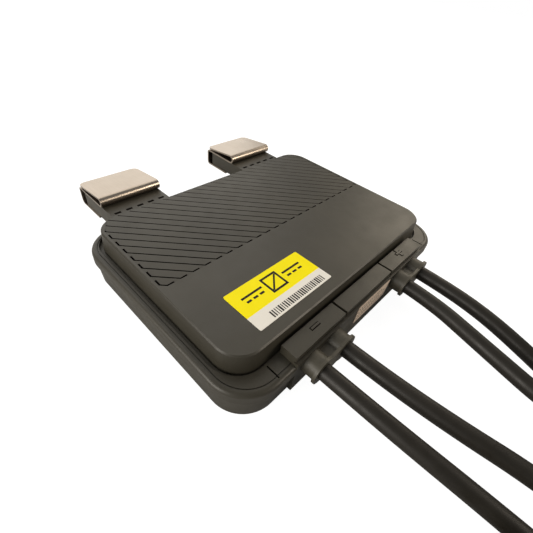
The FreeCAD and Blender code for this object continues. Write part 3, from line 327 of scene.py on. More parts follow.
@dataclass(frozen=True)
class RolledSteel(Finish):
    """Satin steel strip with fine lines along its rolling direction."""

    depth: float = 0.000002
    metallic: float = 1.0
    tone: Cloud = Cloud(2500.0, 2.0)
    tone_range: tuple[float, float] = (0.2, 0.8)
    along: Point | None = (1.0, 0.04, 0.04)
    dark: float = 0.9
    wear: Cloud = Cloud(90.0, 2.0)
    smoother: float = 0.03

    def _shape_surface(self, sheet: ShaderSheet, tone: bpy.types.NodeSocket) -> None:
        """Lets the lines that the tone's noise draws raise the surface."""
        sheet.bump(tone, self.depth)


@dataclass(frozen=True)
class Film(Finish):
    """Printed polyester film: smooth, with a weak orange-peel gloss."""

    roughness: float = 0.35
    grain: float = 1 / 900
    depth: float = 0.000006
    layers: float = 1.0
    gloss: float = 0.12
    dark: float = 0.96
    smoother: float = 0.04
    rougher: float = 0.04


@dataclass(frozen=True)
class BareMetal(Finish):
    """Plated or bare metal with a soft cloudy sheen."""

    metallic: float = 1.0
    tone: Cloud = Cloud(400.0, 3.0)
    dark: float = 0.85
    wear: Cloud = Cloud(700.0, 2.0)
    smoother: float = 0.06
    rougher: float = 0.06


@dataclass(frozen=True)
class Jacket(Finish):
    """A lead's jacket: dark, with a weak waxy gloss and faint marks along it."""

    roughness: float = 0.42
    grain: float = 0.0004
    depth: float = 0.000008
    gloss: float = 0.35
    tone: Cloud = Cloud(700.0, 3.0)
    along: Point | None = (1.0, 0.08, 1.0)
    pale: float = 1.3
    wear: Cloud = Cloud(250.0, 3.0)
    smoother: float = 0.06
    rougher: float = 0.08


class Palette(Enum):
    """The finishes that this part wears."""

    HOUSING = MouldedPlastic("housing_plastic", (0.040, 0.036, 0.026), 0.43, gloss=0.42)
    LID = GroovedPlastic("lid_plastic", (0.040, 0.036, 0.026), 0.43, gloss=0.42)
    SOFT = MouldedPlastic("black_rubber", (0.055, 0.049, 0.034), 0.5, 0.0005)
    RESIN = MouldedPlastic("potting_resin", (0.03, 0.03, 0.03), 0.25, 0.002, 0.00001)
    BOARD = MouldedPlastic("board_laminate", (0.02, 0.16, 0.06), 0.3, 0.001, 0.00001)
    FERRITE = MouldedPlastic("ferrite", (0.09, 0.09, 0.10), 0.6, 0.0006)
    CHIP = MouldedPlastic("chip_plastic", (0.025, 0.025, 0.027), 0.55)
    CAPACITOR = MouldedPlastic("capacitor_film", (0.6, 0.45, 0.08), 0.25, 0.001, 0.000005)
    CONNECTOR = MouldedPlastic("connector_plastic", (0.022, 0.022, 0.023), 0.42)
    TIE = MouldedPlastic("tie_plastic", (0.018, 0.018, 0.018), 0.4)
    COPPER = BareMetal("copper", (0.8, 0.42, 0.26), 0.3)
    CAN = BareMetal("bare_aluminium", (0.8, 0.8, 0.82), 0.3)
    SHIELD = BareMetal("tinned_steel", (0.7, 0.7, 0.67), 0.25)
    CONTACT = BareMetal("tinned_copper", (0.76, 0.74, 0.7), 0.25)
    SPRING = RolledSteel("spring_steel", (0.42, 0.36, 0.30), 0.3)
    JACKET = Jacket("lead_jacket", (0.012, 0.010, 0.007), 0.48)
    YELLOW = Film("yellow_label", (0.98, 0.84, 0.0))
    STRIP = Film("label_strip", (0.84, 0.81, 0.74))
    SILVER = Film("silver_label", (0.78, 0.64, 0.52), 0.45, metallic=0.1)
    # Painted shade: the dark matt plates in the arms' slots and round the signs.
    SHADE = MouldedPlastic("slot_shade", (0.006, 0.005, 0.004), 0.8, gloss=0.0)
    INK = Film("label_ink", (0.012, 0.012, 0.013), 0.4)


@dataclass
class Finishes:
    """Builds each finish once and paints CAD nodes with it.

    Attributes:
        nodes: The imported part's nodes by name.
        built: The materials that are built so far.
    """

    nodes: dict[str, bpy.types.Object]
    built: dict[Palette, bpy.types.Material] = field(default_factory=dict)

    def get(self, finish: Palette) -> bpy.types.Material:
        """Gives a finish's material, building it on first use."""
        if finish not in self.built:
            self.built[finish] = finish.value.material()
        return self.built[finish]

    def paint(self, finish: Palette, *names: str) -> None:
        """Gives a finish to the CAD nodes with these names."""
        for name in names:
            mesh = self.nodes[name].data
            mesh.materials.clear()
            mesh.materials.append(self.get(finish))
            log.info("painted %s as %s", name, finish.name)


def keep_piece(piece: bpy.types.Object, slot: str, *stands_for: str) -> bpy.types.Object:
    """Fastens a finished piece to the part.

    Args:
        piece: The piece, at the origin, with its place in its mesh.
        slot: The record's material slot for the piece; not used.
        stands_for: The CAD nodes that it replaces.

    Returns:
        The piece.
    """
    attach(piece, BODY)
    if stands_for:
        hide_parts(*stands_for)
    log.info("made %s", piece.name)
    return piece


def mesh_object(name: str, shape: bmesh.types.BMesh,
                *materials: bpy.types.Material) -> bpy.types.Object:
    """Turns a bmesh into an object at the origin.

    Args:
        name: The object's name.
        shape: The mesh, which is freed.
        materials: Its materials in slot order.

    Returns:
        The new object.
    """
    mesh = bpy.data.meshes.new(name)
    shape.to_mesh(mesh)
    shape.free()
    for material in materials:
        mesh.materials.append(material)
    return new_object(name, mesh)


def rounded_outline(low: Vector, high: Vector, radius: float, steps: int = 5) -> list[Vector]:
    """Gives the corners of a rounded rectangle, counter-clockwise.

    Args:
        low: Its lower left corner.
        high: Its upper right corner.
        radius: The corner radius.
        steps: How many pieces each round corner has.

    Returns:
        Points in the plane.
    """
    points = []
    corners = [(high.x, low.y, -90), (high.x, high.y, 0), (low.x, high.y, 90),
               (low.x, low.y, 180)]
    for x, y, start in corners:
        centre = Vector((x - math.copysign(radius, x - (low.x + high.x) / 2),
                         y - math.copysign(radius, y - (low.y + high.y) / 2)))
        for step in range(steps + 1):
            angle = math.radians(start + 90 * step / steps)
            points.append(centre + Vector((math.cos(angle), math.sin(angle))) * radius)
    return points


def raise_plate(shape: bmesh.types.BMesh, outline: list[Vector], foot: float, top: float,
                slot: int = 0) -> None:
    """Adds a flat plate with upright edges to a mesh.

    Args:
        shape: The mesh.
        outline: The plate's corners in X and Y.
        foot: The height of its underside.
        top: The height of its face.
        slot: Its material slot.
    """
    low = [shape.verts.new((p.x, p.y, foot)) for p in outline]
    high = [shape.verts.new((p.x, p.y, top)) for p in outline]
    faces = [shape.faces.new(list(reversed(low))), shape.faces.new(high)]
    for index, vert in enumerate(low):
        after = (index + 1) % len(low)
        faces.append(shape.faces.new((vert, low[after], high[after], high[index])))
    for face in faces:
        face.material_index = slot


def bar(centre: tuple[float, float], size: tuple[float, float], turn: float = 0.0) -> list[Vector]:
    """Gives the corners of a bar.

    Args:
        centre: Its middle in X and Y.
        size: Its length and width.
        turn: Its turn in radians.

    Returns:
        Four corners, counter-clockwise.
    """
    middle = Vector(centre)
    ahead = Vector((math.cos(turn), math.sin(turn))) * size[0] / 2
    side = Vector((-math.sin(turn), math.cos(turn))) * size[1] / 2
    return [middle - ahead - side, middle + ahead - side, middle + ahead + side,
            middle - ahead + side]


class BarRow:
    """A Geometry Nodes tree: a row of bars whose widths vary at random.

    Lengths are in metres. The thinnest and widest bars are shares of the pitch.
    """

    SIZES: dict[str, tuple[str, float]] = {
        "Count": ("NodeSocketInt", 30),
        "Pitch": ("NodeSocketFloat", 0.0005),
        "Height": ("NodeSocketFloat", 0.003),
        "Thinnest": ("NodeSocketFloat", 0.2),
        "Widest": ("NodeSocketFloat", 0.9),
        "Thickness": ("NodeSocketFloat", 0.00002),
    }
    # The Random Value node's sockets of type float, which share names with others.
    FLOAT_LOW, FLOAT_HIGH, FLOAT_VALUE = 2, 3, 1

    def __init__(self, name: str, ink: bpy.types.Material, seed: int) -> None:
        """Builds the tree.

        Args:
            name: The tree's name.
            ink: The bars' material.
            seed: The seed of their widths.
        """
        self.tree = bpy.data.node_groups.new(name, "GeometryNodeTree")
        face = self.tree.interface
        self.sockets: dict[str, str] = {}
        for label, (kind, _) in self.SIZES.items():
            socket = face.new_socket(label, in_out="INPUT", socket_type=kind)
            self.sockets[label] = socket.identifier
        face.new_socket("Geometry", in_out="OUTPUT", socket_type="NodeSocketGeometry")
        self._wire(ink, seed)

    def _wire(self, ink: bpy.types.Material, seed: int) -> None:
        """Adds the nodes and links them."""
        nodes, links = self.tree.nodes, self.tree.links
        start = nodes.new("NodeGroupInput")
        line = nodes.new("GeometryNodeMeshLine")
        step = nodes.new("ShaderNodeCombineXYZ")
        cube = nodes.new("GeometryNodeMeshCube")
        cube.inputs["Size"].default_value = (1.0, 1.0, 1.0)
        place = nodes.new("GeometryNodeInstanceOnPoints")
        chance = nodes.new("FunctionNodeRandomValue")
        chance.data_type = "FLOAT"
        chance.inputs["Seed"].default_value = seed
        width = nodes.new("ShaderNodeMath")
        width.operation = "MULTIPLY"
        scale = nodes.new("ShaderNodeCombineXYZ")
        real = nodes.new("GeometryNodeRealizeInstances")
        dress = nodes.new("GeometryNodeSetMaterial")
        dress.inputs["Material"].default_value = ink
        end = nodes.new("NodeGroupOutput")
        links.new(start.outputs["Count"], line.inputs["Count"])
        links.new(start.outputs["Pitch"], step.inputs["X"])
        links.new(step.outputs["Vector"], line.inputs["Offset"])
        links.new(line.outputs["Mesh"], place.inputs["Points"])
        links.new(cube.outputs["Mesh"], place.inputs["Instance"])
        links.new(start.outputs["Thinnest"], chance.inputs[self.FLOAT_LOW])
        links.new(start.outputs["Widest"], chance.inputs[self.FLOAT_HIGH])
        links.new(chance.outputs[self.FLOAT_VALUE], width.inputs[0])
        links.new(start.outputs["Pitch"], width.inputs[1])
        links.new(width.outputs["Value"], scale.inputs["X"])
        links.new(start.outputs["Height"], scale.inputs["Y"])
        links.new(start.outputs["Thickness"], scale.inputs["Z"])
        links.new(scale.outputs["Vector"], place.inputs["Scale"])
        links.new(place.outputs["Instances"], real.inputs["Geometry"])
        links.new(real.outputs["Geometry"], dress.inputs["Geometry"])
        links.new(dress.outputs["Geometry"], end.inputs["Geometry"])

    def bake(self, name: str, place: Matrix, **sizes: float) -> bpy.types.Object:
        """Runs the tree once and keeps the result as a plain mesh.

        Args:
            name: The new object's name.
            place: Where the row goes; it is put into the mesh.
            sizes: The tree's named inputs that differ from their defaults.

        Returns:
            The baked object, at the origin.
        """
        maker = new_object(f"{name}_maker", bpy.data.meshes.new(f"{name}_seed"))
        modifier = maker.modifiers.new("Row", "NODES")
        modifier.node_group = self.tree
        for label, (_, usual) in self.SIZES.items():
            modifier[self.sockets[label]] = sizes.get(label, usual)
        graph = bpy.context.evaluated_depsgraph_get()
        mesh = bpy.data.meshes.new_from_object(maker.evaluated_get(graph))
        bpy.data.objects.remove(maker)
        mesh.transform(place)
        return new_object(name, mesh)


@dataclass
class Group:
    """A group of pieces.

    Attributes:
        finishes: The part's finishes, which they wear.
    """

    finishes: Finishes


@dataclass
class Housing(Group):
    """The base, the lid and the strain reliefs, with what lies inside."""

    def dress(self) -> None:
        """Paints every node of the housing."""
        paint = self.finishes.paint
        paint(Palette.HOUSING, "base_housing")
        paint(Palette.LID, "top_cover")
        paint(Palette.SOFT, "cover_seal", "minus_strain_relief", "plus_strain_relief")
        paint(Palette.RESIN, "potting_compound")
        paint(Palette.BOARD, "circuit_board")
        paint(Palette.FERRITE, "inductor_core")
        paint(Palette.CAPACITOR, "input_film_capacitor", "output_film_capacitor")
        paint(Palette.CAN, "left_can_capacitor", "right_can_capacitor")
        paint(Palette.SHIELD, "communication_module")
        paint(Palette.CHIP, "bypass_diode", "control_chip",
              *(f"power_transistor_{index}" for index in range(1, 5)))
        paint(Palette.COPPER, "inductor_winding")
        for pole in ("input_minus", "input_plus", "output_minus", "output_plus"):
            paint(Palette.COPPER, f"{pole}_core", f"{pole}_lug")


@dataclass
class SpringClips(Group):
    """The two folded spring strips on the arms."""

    def dress(self) -> None:
        """Paints both strips as satin steel."""
        self.finishes.paint(Palette.SPRING, "left_spring_clip", "right_spring_clip")


@dataclass
class ArmSlotShades(Group):
    """Painted shade for the row of short slots across the root of each arm: thin dark plates that
    stand in for the slots.

    Attributes:
        count: The slots on each arm.
        pitch: The way from slot to slot.
        slot_length: A slot's length along the row.
        slot_width: Its width across the row.
        root: How far the rows lie from the part's middle line along Y.
        top: The height of the arms' faces.
        middle: How far the arms' middles lie to each side.
        depth: The thickness of the dark plates.
        seed: The row's seed, of no effect on equal slots.
    """

    count: int = 5
    pitch: float = 5.47 * MM
    slot_length: float = 3.0 * MM
    slot_width: float = 1.3 * MM
    root: float = 49.0 * MM
    top: float = 20.0 * MM
    middle: float = 38.6 * MM
    depth: float = 0.02 * MM
    seed: int = 3

    def build(self) -> None:
        """Lays both rows of painted shade."""
        row = BarRow("slot_shade_row", self.finishes.get(Palette.SHADE), self.seed)
        wide = self.slot_length / self.pitch
        half = self.pitch * (self.count - 1) / 2
        for name, side in (("left", -1), ("right", 1)):
            place = Matrix.Translation((side * self.middle - half, self.root,
                                        self.top + self.depth / 2))
            slots = row.bake(f"{name}_arm_slot_shades", place, Count=self.count, Pitch=self.pitch,
                             Height=self.slot_width, Thinnest=wide, Widest=wide,
                             Thickness=self.depth)
            keep_piece(slots, "housing_plastic")


@dataclass
class MarkShades(Group):
    """The thin shade round the raised minus and plus signs on the bridges.

    Attributes:
        aside: How far the signs lie to each side.
        forward: How far they lie towards -Y.
        top: The height of the bridges.
        length: The length of a stroke.
        width: Its width.
        depth: Its thickness.
        sunk: The share of it that the plus sign's upright stroke has, to keep
            crossing faces out of one plane.
    """

    aside: float = 30.65 * MM
    forward: float = 48.55 * MM
    top: float = 19.0 * MM
    length: float = 4.8 * MM
    width: float = 1.5 * MM
    depth: float = 0.02 * MM
    sunk: float = 0.9

    def build(self) -> None:
        """Lays both shades as thin plates."""
        shape = bmesh.new()
        strokes = [(-self.aside, 0.0, 1.0), (self.aside, 0.0, 1.0),
                   (self.aside, math.pi / 2, self.sunk)]
        for x, turn, share in strokes:
            plate = bar((x, -self.forward), (self.length, self.width), turn)
            raise_plate(shape, plate, self.top, self.top + self.depth * share)
        keep_piece(mesh_object("mark_shades", shape, self.finishes.get(Palette.SHADE)),
                   "housing_plastic")


@dataclass
class TopLabel(Group):
    """The label on the lid: a yellow field over a pale strip of bars.

    Attributes:
        corner: The radius of the film's corners.
        split: The width of the pale strip.
        ink: The print's thickness.
        sign: The side of the sign's box.
        stroke: The width of the sign's strokes.
        margin: The way from the current signs to the label's ends.
        clear: How much of their room the current signs' lines leave free.
        apart: How far each line lies from the sign's middle.
        dash_pitch: The way from dash to dash.
        dash: A dash's length.
        slant: The slanting stroke's length, as a share of the box's side.
        slant_width: Its width, as a share of the other strokes'.
        sunk: Its thickness, as a share of the print's, to keep crossing faces
            out of one plane.
        bars: The bars on the pale strip.
        bars_from: Where they start along the label, as a share of it.
        bars_over: How far they reach along it, as a share.
        bars_at: How high they lie on the strip, as a share of it.
        bars_height: Their height, as a share of the strip.
        thinnest: The thinnest bar, as a share of the pitch.
        widest: The widest bar, as a share of the pitch.
        seed: The seed of the bars' widths.
    """

    corner: float = 0.6 * MM
    split: float = 6.3 * MM
    ink: float = 0.02 * MM
    sign: float = 8.0 * MM
    stroke: float = 0.9 * MM
    margin: float = 2.5 * MM
    clear: float = 3.0 * MM
    apart: float = 1.1 * MM
    dash_pitch: float = 3.1 * MM
    dash: float = 2.1 * MM
    slant: float = 1.05
    slant_width: float = 0.8
    sunk: float = 0.9
    bars: int = 27
    bars_from: float = 0.20
    bars_over: float = 0.74
    bars_at: float = 0.36
    bars_height: float = 0.47
    thinnest: float = 0.3
    widest: float = 0.72
    seed: int = 7

    def build(self) -> None:
        """Makes the film, the converter sign and the row of bars."""
        low, high = (Vector(corner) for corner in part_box("top_label"))
        self._film(low, high)
        self._sign(low, high)
        self._bars(low, high)

    def _film(self, low: Vector, high: Vector) -> None:
        """Makes the film, pale below the split and yellow above it."""
        get = self.finishes.get
        edge = low.y + self.split
        shape = bmesh.new()
        outline = rounded_outline(low.to_2d(), high.to_2d(), self.corner)
        lower = [p for p in outline if p.y < edge]
        upper = [p for p in outline if p.y >= edge]
        left, right = Vector((low.x, edge)), Vector((high.x, edge))
        below = [p for p in lower if p.x > (low.x + high.x) / 2]
        beside = [p for p in lower if p.x <= (low.x + high.x) / 2]
        raise_plate(shape, [*below, right, left, *beside], low.z, high.z, 0)
        raise_plate(shape, [right, *upper, left], low.z, high.z, 1)
        film = mesh_object("top_label_film", shape, get(Palette.STRIP), get(Palette.YELLOW))
        keep_piece(film, "yellow_label", "top_label")

    def _sign(self, low: Vector, high: Vector) -> None:
        """Prints a plain converter sign: a box between two direct-current signs."""
        centre = Vector(((low.x + high.x) / 2, (low.y + self.split + high.y) / 2))
        half = self.sign / 2
        thin = self.stroke
        inset = half - thin / 2
        upright = self.sign - 2 * thin
        reach = (high.x - low.x) / 2 - self.margin
        strokes = [
            bar((centre.x, centre.y - inset), (self.sign, thin)),
            bar((centre.x, centre.y + inset), (self.sign, thin)),
            bar((centre.x - inset, centre.y), (upright, thin), math.pi / 2),
            bar((centre.x + inset, centre.y), (upright, thin), math.pi / 2),
        ]
        for side in (-1, 1):
            middle = centre.x + side * (half + reach) / 2
            strokes.append(bar((middle, centre.y + self.apart),
                               (reach - half - self.clear, thin)))
            for step in (-1, 0, 1):
                strokes.append(bar((middle + step * self.dash_pitch, centre.y - self.apart),
                                   (self.dash, thin)))
        shape = bmesh.new()
        for stroke in strokes:
            raise_plate(shape, stroke, high.z, high.z + self.ink)
        slant = bar((centre.x, centre.y), (self.sign * self.slant, thin * self.slant_width),
                    math.pi / 4)
        raise_plate(shape, slant, high.z, high.z + self.ink * self.sunk)
        keep_piece(mesh_object("top_label_sign", shape, self.finishes.get(Palette.INK)),
                   "yellow_label")

    def _bars(self, low: Vector, high: Vector) -> None:
        """Prints the row of bars on the pale strip."""
        row = BarRow("bar_row", self.finishes.get(Palette.INK), self.seed)
        width = high.x - low.x
        pitch = width * self.bars_over / self.bars
        place = Matrix.Translation((low.x + width * self.bars_from,
                                    low.y + self.split * self.bars_at,
                                    high.z + self.ink / 2))
        bars = row.bake("top_label_bars", place, Count=self.bars, Pitch=pitch,
                        Height=self.split * self.bars_height, Thinnest=self.thinnest,
                        Widest=self.widest, Thickness=self.ink)
        keep_piece(bars, "yellow_label")


@dataclass
class SideLabel(Group):
    """The silver tag on the front panel, with rows of fine print bars.

    Attributes:
        rows: How many rows it has.
        ink: The thickness of the print.
        margin: The way from the tag's end to the first bar.
        pitch: The way from bar to bar.
        bars: The bars in a long row.
        fewer: How many bars every second row lacks.
        height: The bars' height, as a share of the way from row to row.
        thinnest: The thinnest bar, as a share of the pitch.
        widest: The widest bar, as a share of the pitch.
        seed: The seed of the bars' widths.
    """

    rows: int = 4
    ink: float = 0.02 * MM
    margin: float = 1.5 * MM
    pitch: float = 1.5 * MM
    bars: int = 14
    fewer: int = 2
    height: float = 0.3
    thinnest: float = 0.4
    widest: float = 0.85
    seed: int = 11

    def build(self) -> None:
        """Paints the tag and prints its rows."""
        self.finishes.paint(Palette.SILVER, "side_label")
        low, high = (Vector(corner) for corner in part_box("side_label"))
        row = BarRow("tag_row", self.finishes.get(Palette.INK), self.seed)
        upright = Matrix.Rotation(math.pi / 2, 4, "X")
        step = (high.z - low.z) / (self.rows + 1)
        for index in range(self.rows):
            corner = Vector((low.x + self.margin, low.y - self.ink / 2,
                             low.z + step * (index + 1)))
            bars = row.bake(f"side_label_row_{index + 1}", Matrix.Translation(corner) @ upright,
                            Count=self.bars - self.fewer * (index % 2), Pitch=self.pitch,
                            Height=step * self.height, Thinnest=self.thinnest,
                            Widest=self.widest, Thickness=self.ink)
            keep_piece(bars, "silver_label")


def lay_curve(name: str, points: list[Point], diameter: float,
              jacket: bpy.types.Material, steps: int) -> bpy.types.Object:
    """Lays a round cord along a NURBS spline.

    Args:
        name: The cord's name.
        points: The spline's control points.
        diameter: The cord's diameter.
        jacket: Its material.
        steps: How finely each stretch is drawn.

    Returns:
        The curve object.
    """
    curve = bpy.data.curves.new(name, "CURVE")
    curve.dimensions = "3D"
    curve.bevel_depth = diameter / 2
    curve.bevel_resolution = CORD_SIDES
    curve.use_fill_caps = True
    spline = curve.splines.new("NURBS")
    spline.points.add(len(points) - 1)
    for control, point in zip(spline.points, points):
        control.co = (*point, 1.0)
    spline.order_u = CORD_ORDER
    spline.use_endpoint_u = True
    spline.resolution_u = steps
    curve.materials.append(jacket)
    return new_object(name, curve)


def in_metres(points: list[Point]) -> list[Point]:
    """Turns points in millimetres into metres."""
    return [tuple(v * MM for v in point) for point in points]


def eased(stations: list[tuple[float, float]], turned: float) -> float:
    """Follows a value from station to station, with a soft start and end.

    Args:
        stations: Turn angles with the value that each has, in order.
        turned: The turn angle to read the value at.

    Returns:
        The value there.
    """
    before = max((s for s in stations if s[0] <= turned), key=lambda s: s[0])
    after = min((s for s in stations if s[0] >= turned), key=lambda s: s[0])
    if after[0] == before[0]:
        return before[1]
    share = (turned - before[0]) / (after[0] - before[0])
    share = 2 * share ** 2 if share < 0.5 else 1 - 2 * (1 - share) ** 2
    return before[1] + (after[1] - before[1]) * share


@dataclass
class Connector:
    """A lead's connector: gland nut, body and contact.

    Attributes:
        lead: The lead's name.
        is_plug: Whether it is a plug with a pin, or else a socket.
        finishes: The part's finishes.
    """

    lead: str
    is_plug: bool
    finishes: Finishes

    def dress(self) -> list[bpy.types.Object]:
        """Paints the connector and returns its nodes."""
        body = f"{self.lead}_{'plug' if self.is_plug else 'socket'}"
        contact = f"{self.lead}_{'pin' if self.is_plug else 'contact'}"
        self.finishes.paint(Palette.CONNECTOR, f"{self.lead}_nut", body)
        self.finishes.paint(Palette.CONTACT, contact)
        return [self.finishes.nodes[name] for name in (f"{self.lead}_nut", body, contact)]


@dataclass
class Lead:
    """A short input lead that runs straight out to its connector.

    Attributes:
        name: The lead's name, which its nodes' names start with.
        route: Its spline's points in millimetres, from the housing outwards.
        is_plug: Whether its connector is a plug, or else a socket.
        finishes: The part's finishes.
        length: Its whole length; not used.
        diameter: Its diameter.
        flange: Where along Y it leaves its strain relief.
        steps: How finely each stretch of it is drawn.
    """

    name: str
    route: list[Point]
    is_plug: bool
    finishes: Finishes
    length: float = 0.11
    diameter: float = 6.4 * MM
    flange: float = -59.5 * MM
    steps: int = 8

    def leaves_at(self) -> Point:
        """Gives the point where the lead leaves its strain relief."""
        start = in_metres(self.route)[0]
        return (start[0], self.flange, start[2])

    def build(self) -> None:
        cord = lay_curve(self.name, in_metres(self.route), self.diameter,
                         self.finishes.get(Palette.JACKET), self.steps)
        keep_piece(cord, "lead_jacket", f"{self.name}_lead")
        connector = Connector(self.name, self.is_plug, self.finishes).dress()


@dataclass
class CoiledLead(Lead):
    """A long output lead, put away as a tied coil beside the housing.

    Its turns lie outside and inside, over them inside and outside, and one on
    top. The coil's lengths are in millimetres and its turn angles in degrees.

    Attributes:
        centre: The coil's middle in X and Y.
        clockwise: Its sense, from the housing outwards.
        tail: The lead's last points, at its connector.
        per_turn: The spline's points for each turn.
        inner: The radius of the inner turns.
        outer: The radius of the outer turns.
        middle: The radius of the turn on top.
        low: The height of the lowest turns.
        high: The height of the turns over them.
        top: The height of the turn on top.
        connector: The connector's height.
        first_change: The turn angle at which the lead first moves over.
        next_change: The turn from one such move to the next.
        change: The turn that a move takes.
        inward_delay: How much later it moves in on top than it climbs there.
        rise_from: Where its climb to the connector starts.
        rise_to: Where that climb would end, just past the last turn.
        last_turn: Where the coil ends.
    """

    centre: tuple[float, float] = (0.0, 0.0)
    clockwise: bool = True
    tail: list[Point] = field(default_factory=list)
    length: float = 1.12
    steps: int = 4
    per_turn: int = 20
    inner: float = 28.8
    outer: float = 35.2
    middle: float = 32.0
    low: float = 3.8
    high: float = 10.2
    top: float = 16.6
    connector: float = 29.3
    first_change: float = 282
    next_change: float = 338
    change: float = 90
    inward_delay: float = 40
    rise_from: float = 1645
    rise_to: float = 1798
    last_turn: float = 1764

    def _changes(self) -> list[float]:
        """Gives the turn angles where the lead moves in, up, out and up again."""
        return [self.first_change + self.next_change * index for index in range(4)]

    def _radii(self) -> list[tuple[float, float]]:
        """Gives turn angle and radius where the lead starts or ends a move."""
        inwards, _, outwards, over = self._changes()
        over += self.inward_delay
        return [(0, self.outer), (inwards, self.outer), (inwards + self.change, self.inner),
                (outwards, self.inner), (outwards + self.change, self.outer),
                (over, self.outer), (over + self.change, self.middle),
                (self.rise_to, self.middle)]

    def _heights(self) -> list[tuple[float, float]]:
        """Gives turn angle and height where the lead starts or ends a climb."""
        _, climb, _, over = self._changes()
        return [(0, self.low), (climb, self.low), (climb + self.change, self.high),
                (over, self.high), (over + self.change, self.top),
                (self.rise_from, self.top), (self.rise_to, self.connector)]

    def _turns(self) -> list[Point]:
        """Works out the coil's points, from its entry to its last turn.

        A spline of this order runs a little inside its points, so they are set
        a little wide of its radius.
        """
        start = 0.0 if self.clockwise else math.pi
        way = -1 if self.clockwise else 1
        widen = 2 / (1 + math.cos(math.pi / self.per_turn))
        points = []
        for index in range(1, int(self.last_turn / 360 * self.per_turn) + 1):
            turned = 360 * index / self.per_turn
            radius = eased(self._radii(), turned) * widen
            angle = start + way * math.radians(turned)
            points.append((self.centre[0] + radius * math.cos(angle),
                           self.centre[1] + radius * math.sin(angle),
                           eased(self._heights(), turned)))
        return points

    def build(self) -> None:
        """Lays the run, the coil and the tail as one cord."""
        points = in_metres([*self.route, *self._turns(), *self.tail])
        cord = lay_curve(self.name, points, self.diameter,
                         self.finishes.get(Palette.JACKET), self.steps)
        keep_piece(cord, "lead_jacket", f"{self.name}_lead", f"{self.name}_coil",
                   f"{self.name}_tail")
        ties = [f"{self.name}_tie_1", f"{self.name}_tie_2"]
        self.finishes.paint(Palette.TIE, *ties)
        connector = Connector(self.name, self.is_plug, self.finishes).dress()
        self.leaves_at()


# The leads' splines in millimetres, from inside the housing to the connector
# or, on an output lead, to its coil.
INPUT_MINUS = [
    (-24.1, -47, 11), (-24.1, -69, 11), (-22.2, -96, 10.8), (-17, -126, 9.5), (-17, -156, 9.5),
]
INPUT_PLUS = [
    (24.1, -47, 11), (24.1, -69.5, 11), (17.1, -94, 10.9), (9.8, -125, 9.5), (9.8, -156, 9.5),
]
OUTPUT_MINUS = [
    (-37.2, -47, 11), (-37.2, -70, 11), (-36.4, -91, 10.2), (-34, -112, 7.4),
    (-31.9, -132.5, 4.4), (-31.7, -152, 3.8),
]
OUTPUT_PLUS = [
    (37.2, -47, 11), (37.2, -68, 11), (34.8, -90, 10.6), (30.2, -111.5, 7.8),
    (25.3, -132, 4.5), (24.5, -152, 3.8),
]
MINUS_TAIL = [(-36.2, -142.6, 29.2), (-34.9, -152.3, 29.3), (-34.9, -161.1, 29.3)]
PLUS_TAIL = [(29, -142.6, 29.2), (27.7, -152.3, 29.3), (27.7, -161.1, 29.3)]


@dataclass(frozen=True)
class Lamp:
    """A soft square lamp that faces the part.

    Attributes:
        name: The lamp's name.
        place: Where it hangs.
        size: Its side.
        power: Its power in watts.
        colour: Its colour.
    """

    name: str
    place: Point
    size: float
    power: float
    colour: Colour

    def hang(self) -> None:
        """Adds the lamp to the scene."""
        light = bpy.data.lights.new(self.name, "AREA")
        light.size = self.size
        light.energy = self.power
        light.color = self.colour
        lamp = new_object(self.name, light)
        lamp.location = self.place
        lamp.rotation_euler = (-Vector(self.place)).to_track_quat("-Z", "Y").to_euler()


LAMPS = (
    Lamp("behind", (0.15, 0.75, 0.60), 1.3, 7.8, (1.0, 0.96, 0.89)),
    Lamp("beside", (0.80, 0.05, 0.45), 0.4, 1.9, (1.0, 0.88, 0.70)),
    Lamp("left", (-0.80, 0.10, 0.22), 0.4, 5.2, (1.0, 0.95, 0.87)),
    Lamp("front", (0.50, -0.75, 0.30), 0.4, 3.8, (1.0, 0.89, 0.74)),
)


